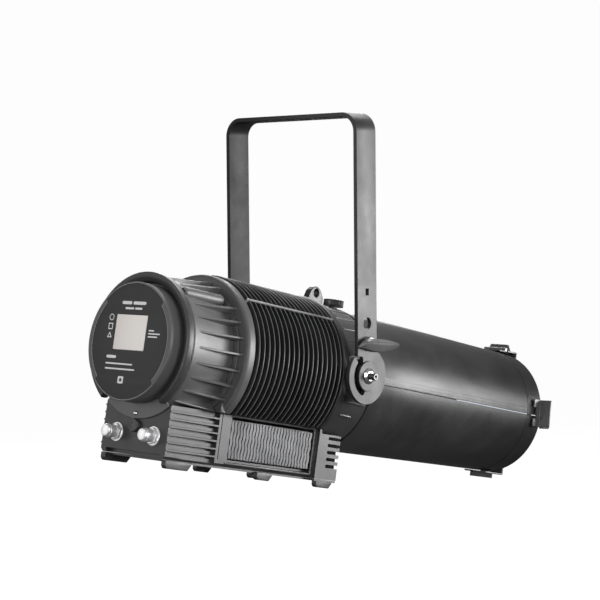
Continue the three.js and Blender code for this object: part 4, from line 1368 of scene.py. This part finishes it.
# ------------------------------------------------------------------ carried-over CAD nodes
KEPT = {
    "control_board": BOARD, "led_board": BOARD, "led_array": PHOSPHOR,
    "condenser_lens": GLASS, "gate_barrel": ANODISED, "gate_plate": BLACK_STEEL,
    "power_supply": SUPPLY, "fan_frame": FAN, "fan_rotor": FAN,
}
for node_name, material in KEPT.items():
    paint(NODES[node_name].data, material)


# ------------------------------------------------------------------ camera
def from_pivot(position):
    """World position of a point given in millimetres from the pivot."""
    return PIVOT + Vector(position) * 0.001


AZIMUTH, ELEVATION, ROLL = 42.217 * DEG, 3.206 * DEG, -0.504 * DEG
CAMERA_AT = (1574.2, -1735.4, 230.2)

cam_data = bpy.data.cameras.new("cam")
cam = link_mesh("cam", cam_data)
right = Vector((math.cos(AZIMUTH), math.sin(AZIMUTH), 0))
forward = Vector((
    -math.sin(AZIMUTH) * math.cos(ELEVATION),
    math.cos(AZIMUTH) * math.cos(ELEVATION),
    -math.sin(ELEVATION),
))
up = right.cross(forward)
rolled_right = right * math.cos(ROLL) + up * math.sin(ROLL)
rolled_up = -right * math.sin(ROLL) + up * math.cos(ROLL)
rotation = Matrix((rolled_right, rolled_up, -forward)).transposed()
cam.matrix_world = Matrix.Translation(from_pivot(CAMERA_AT)) @ rotation.to_4x4()
cam_data.sensor_fit = "HORIZONTAL"
cam_data.sensor_width = 36.0
cam_data.lens = 101.268
cam_data.clip_end = 100
bpy.context.scene.camera = cam

# ------------------------------------------------------------------ floor, metres
# Pale floor running up into a backdrop square to the camera
FLOOR_Z = -0.42
FLOOR_NEAR, FLOOR_FAR, SWEEP_R, BACKDROP_TOP, FLOOR_HALF = -8.0, 6.0, 2.5, 9.0, 9
sweep = [(FLOOR_NEAR, 0.0), (FLOOR_FAR, 0.0)]
for a in range(10, 91, 10):
    sweep.append((FLOOR_FAR + SWEEP_R * math.sin(a * DEG), SWEEP_R - SWEEP_R * math.cos(a * DEG)))
sweep.append((FLOOR_FAR + SWEEP_R, BACKDROP_TOP))
away = Vector((-math.sin(AZIMUTH), math.cos(AZIMUTH), 0))
verts = []
for across in (-FLOOR_HALF, FLOOR_HALF):
    for distance, z in sweep:
        p = away * distance + right * across
        verts.append((p.x, p.y, FLOOR_Z + z))
k = len(sweep)
floor = new_obj("floor_sweep", verts, [(i, i + 1, k + i + 1, k + i) for i in range(k - 1)])
for polygon in floor.data.polygons:
    polygon.use_smooth = True


def floor_material():
    """Nearly white glow with a little diffuse shading."""
    material = bpy.data.materials.new("floor_mat")
    material.use_nodes = True
    nodes = material.node_tree.nodes
    links = material.node_tree.links
    nodes.remove(nodes["Principled BSDF"])
    glow = nodes.new("ShaderNodeEmission")
    glow.inputs["Color"].default_value = (1, 1, 1, 1)
    glow.inputs["Strength"].default_value = 0.97
    diffuse = nodes.new("ShaderNodeBsdfDiffuse")
    diffuse.inputs["Color"].default_value = (0.05, 0.05, 0.05, 1)
    total = nodes.new("ShaderNodeAddShader")
    links.new(glow.outputs[0], total.inputs[0])
    links.new(diffuse.outputs[0], total.inputs[1])
    links.new(total.outputs[0], nodes["Material Output"].inputs["Surface"])
    return material


floor.data.materials.append(floor_material())
# the floor neither lights nor reflects in the lamp
floor.visible_glossy = False
floor.visible_diffuse = False
floor.visible_shadow = False


# ------------------------------------------------------------------ lights
def area(name, at, target, size, power):
    """Rectangular light; at and target in mm from the pivot, size in metres, power in watts."""
    light = bpy.data.lights.new(name, "AREA")
    light.shape = "RECTANGLE"
    light.size, light.size_y = size
    light.energy = power
    ob = link_mesh(name, light)
    ob.location = from_pivot(at)
    direction = from_pivot(target) - ob.location
    ob.rotation_euler = direction.to_track_quat("-Z", "Y").to_euler()
    ob.visible_camera = False


CENTRE, REAR_BODY = (0, 0, 0), (0, -200, 0)
# key softbox ahead on the lamp's right
area("key_right", at=(2750, 2750, 100), target=CENTRE, size=(1.9, 1.3), power=185)
# smaller soft light on the right: rib flanks and chamfers turned to the rear right
area("side_right", at=(3000, -500, 500), target=REAR_BODY, size=(1.0, 1.0), power=40)
# narrow upright strip behind the lamp, for the flange cone and the connectors
area("rear_strip", at=(700, -3200, 200), target=REAR_BODY, size=(0.7, 1.5), power=26)
# long soft strip above, ahead and a little to the left, for the top edges
area("top_back", at=(-900, 1600, 2400), target=(0, 100, 0), size=(2.2, 0.9), power=62)
# soft overhead
area("top", at=(200, -400, 2600), target=CENTRE, size=(1.6, 1.6), power=14)
# weak fill from the rear left for the display end
area("fill_left", at=(-2200, -2600, 600), target=REAR_BODY, size=(2.2, 2.2), power=22)
# broad soft light ahead on the left: the crown of the tube and the far side
area("front_left", at=(-2500, 2300, 1100), target=CENTRE, size=(1.8, 1.8), power=60)
# small fill near the camera
area("fill_cam", at=(1600, -2600, 1000), target=CENTRE, size=(1.4, 1.4), power=14)


# ------------------------------------------------------------------ world
def build_world():
    """White to the camera, dim to diffuse rays, brighter overhead in reflections."""
    world = bpy.data.worlds.new("world")
    bpy.context.scene.world = world
    world.use_nodes = True
    nodes = world.node_tree.nodes
    link = world.node_tree.links.new

    ambient = nodes["Background"]
    ambient.inputs["Color"].default_value = (1, 1, 1, 1)
    ambient.inputs["Strength"].default_value = 0.12
    backdrop = nodes.new("ShaderNodeBackground")
    backdrop.inputs["Color"].default_value = (1, 1, 1, 1)
    backdrop.inputs["Strength"].default_value = 1.0

    coords = nodes.new("ShaderNodeTexCoord")
    split = nodes.new("ShaderNodeSeparateXYZ")
    link(coords.outputs["Generated"], split.inputs[0])
    # height -1..1 becomes 0..1 for the ramp
    height = nodes.new("ShaderNodeMath")
    height.operation = "MULTIPLY_ADD"
    height.inputs[1].default_value = 0.5
    height.inputs[2].default_value = 0.5
    link(split.outputs["Z"], height.inputs[0])
    ramp = nodes.new("ShaderNodeValToRGB")
    ramp.color_ramp.elements.new(0.5)
    # grey below, at eye level and overhead
    for element, grey in zip(ramp.color_ramp.elements, (0.045, 0.14, 0.34)):
        element.color = (grey, grey, grey, 1)
    link(height.outputs[0], ramp.inputs["Fac"])
    room = nodes.new("ShaderNodeBackground")
    room.inputs["Strength"].default_value = 1.0
    link(ramp.outputs["Color"], room.inputs["Color"])

    rays = nodes.new("ShaderNodeLightPath")

    def choose(ray, otherwise, chosen):
        mix = nodes.new("ShaderNodeMixShader")
        link(rays.outputs[ray], mix.inputs["Fac"])
        link(otherwise.outputs[0], mix.inputs[1])
        link(chosen.outputs[0], mix.inputs[2])
        return mix

    lit = choose("Is Glossy Ray", ambient, room)
    seen = choose("Is Camera Ray", lit, backdrop)
    link(seen.outputs[0], nodes["World Output"].inputs["Surface"])


build_world()

view = bpy.context.scene.view_settings
view.view_transform = "Standard"
view.look = "None"
view.exposure = 0.0
view.gamma = 1.0
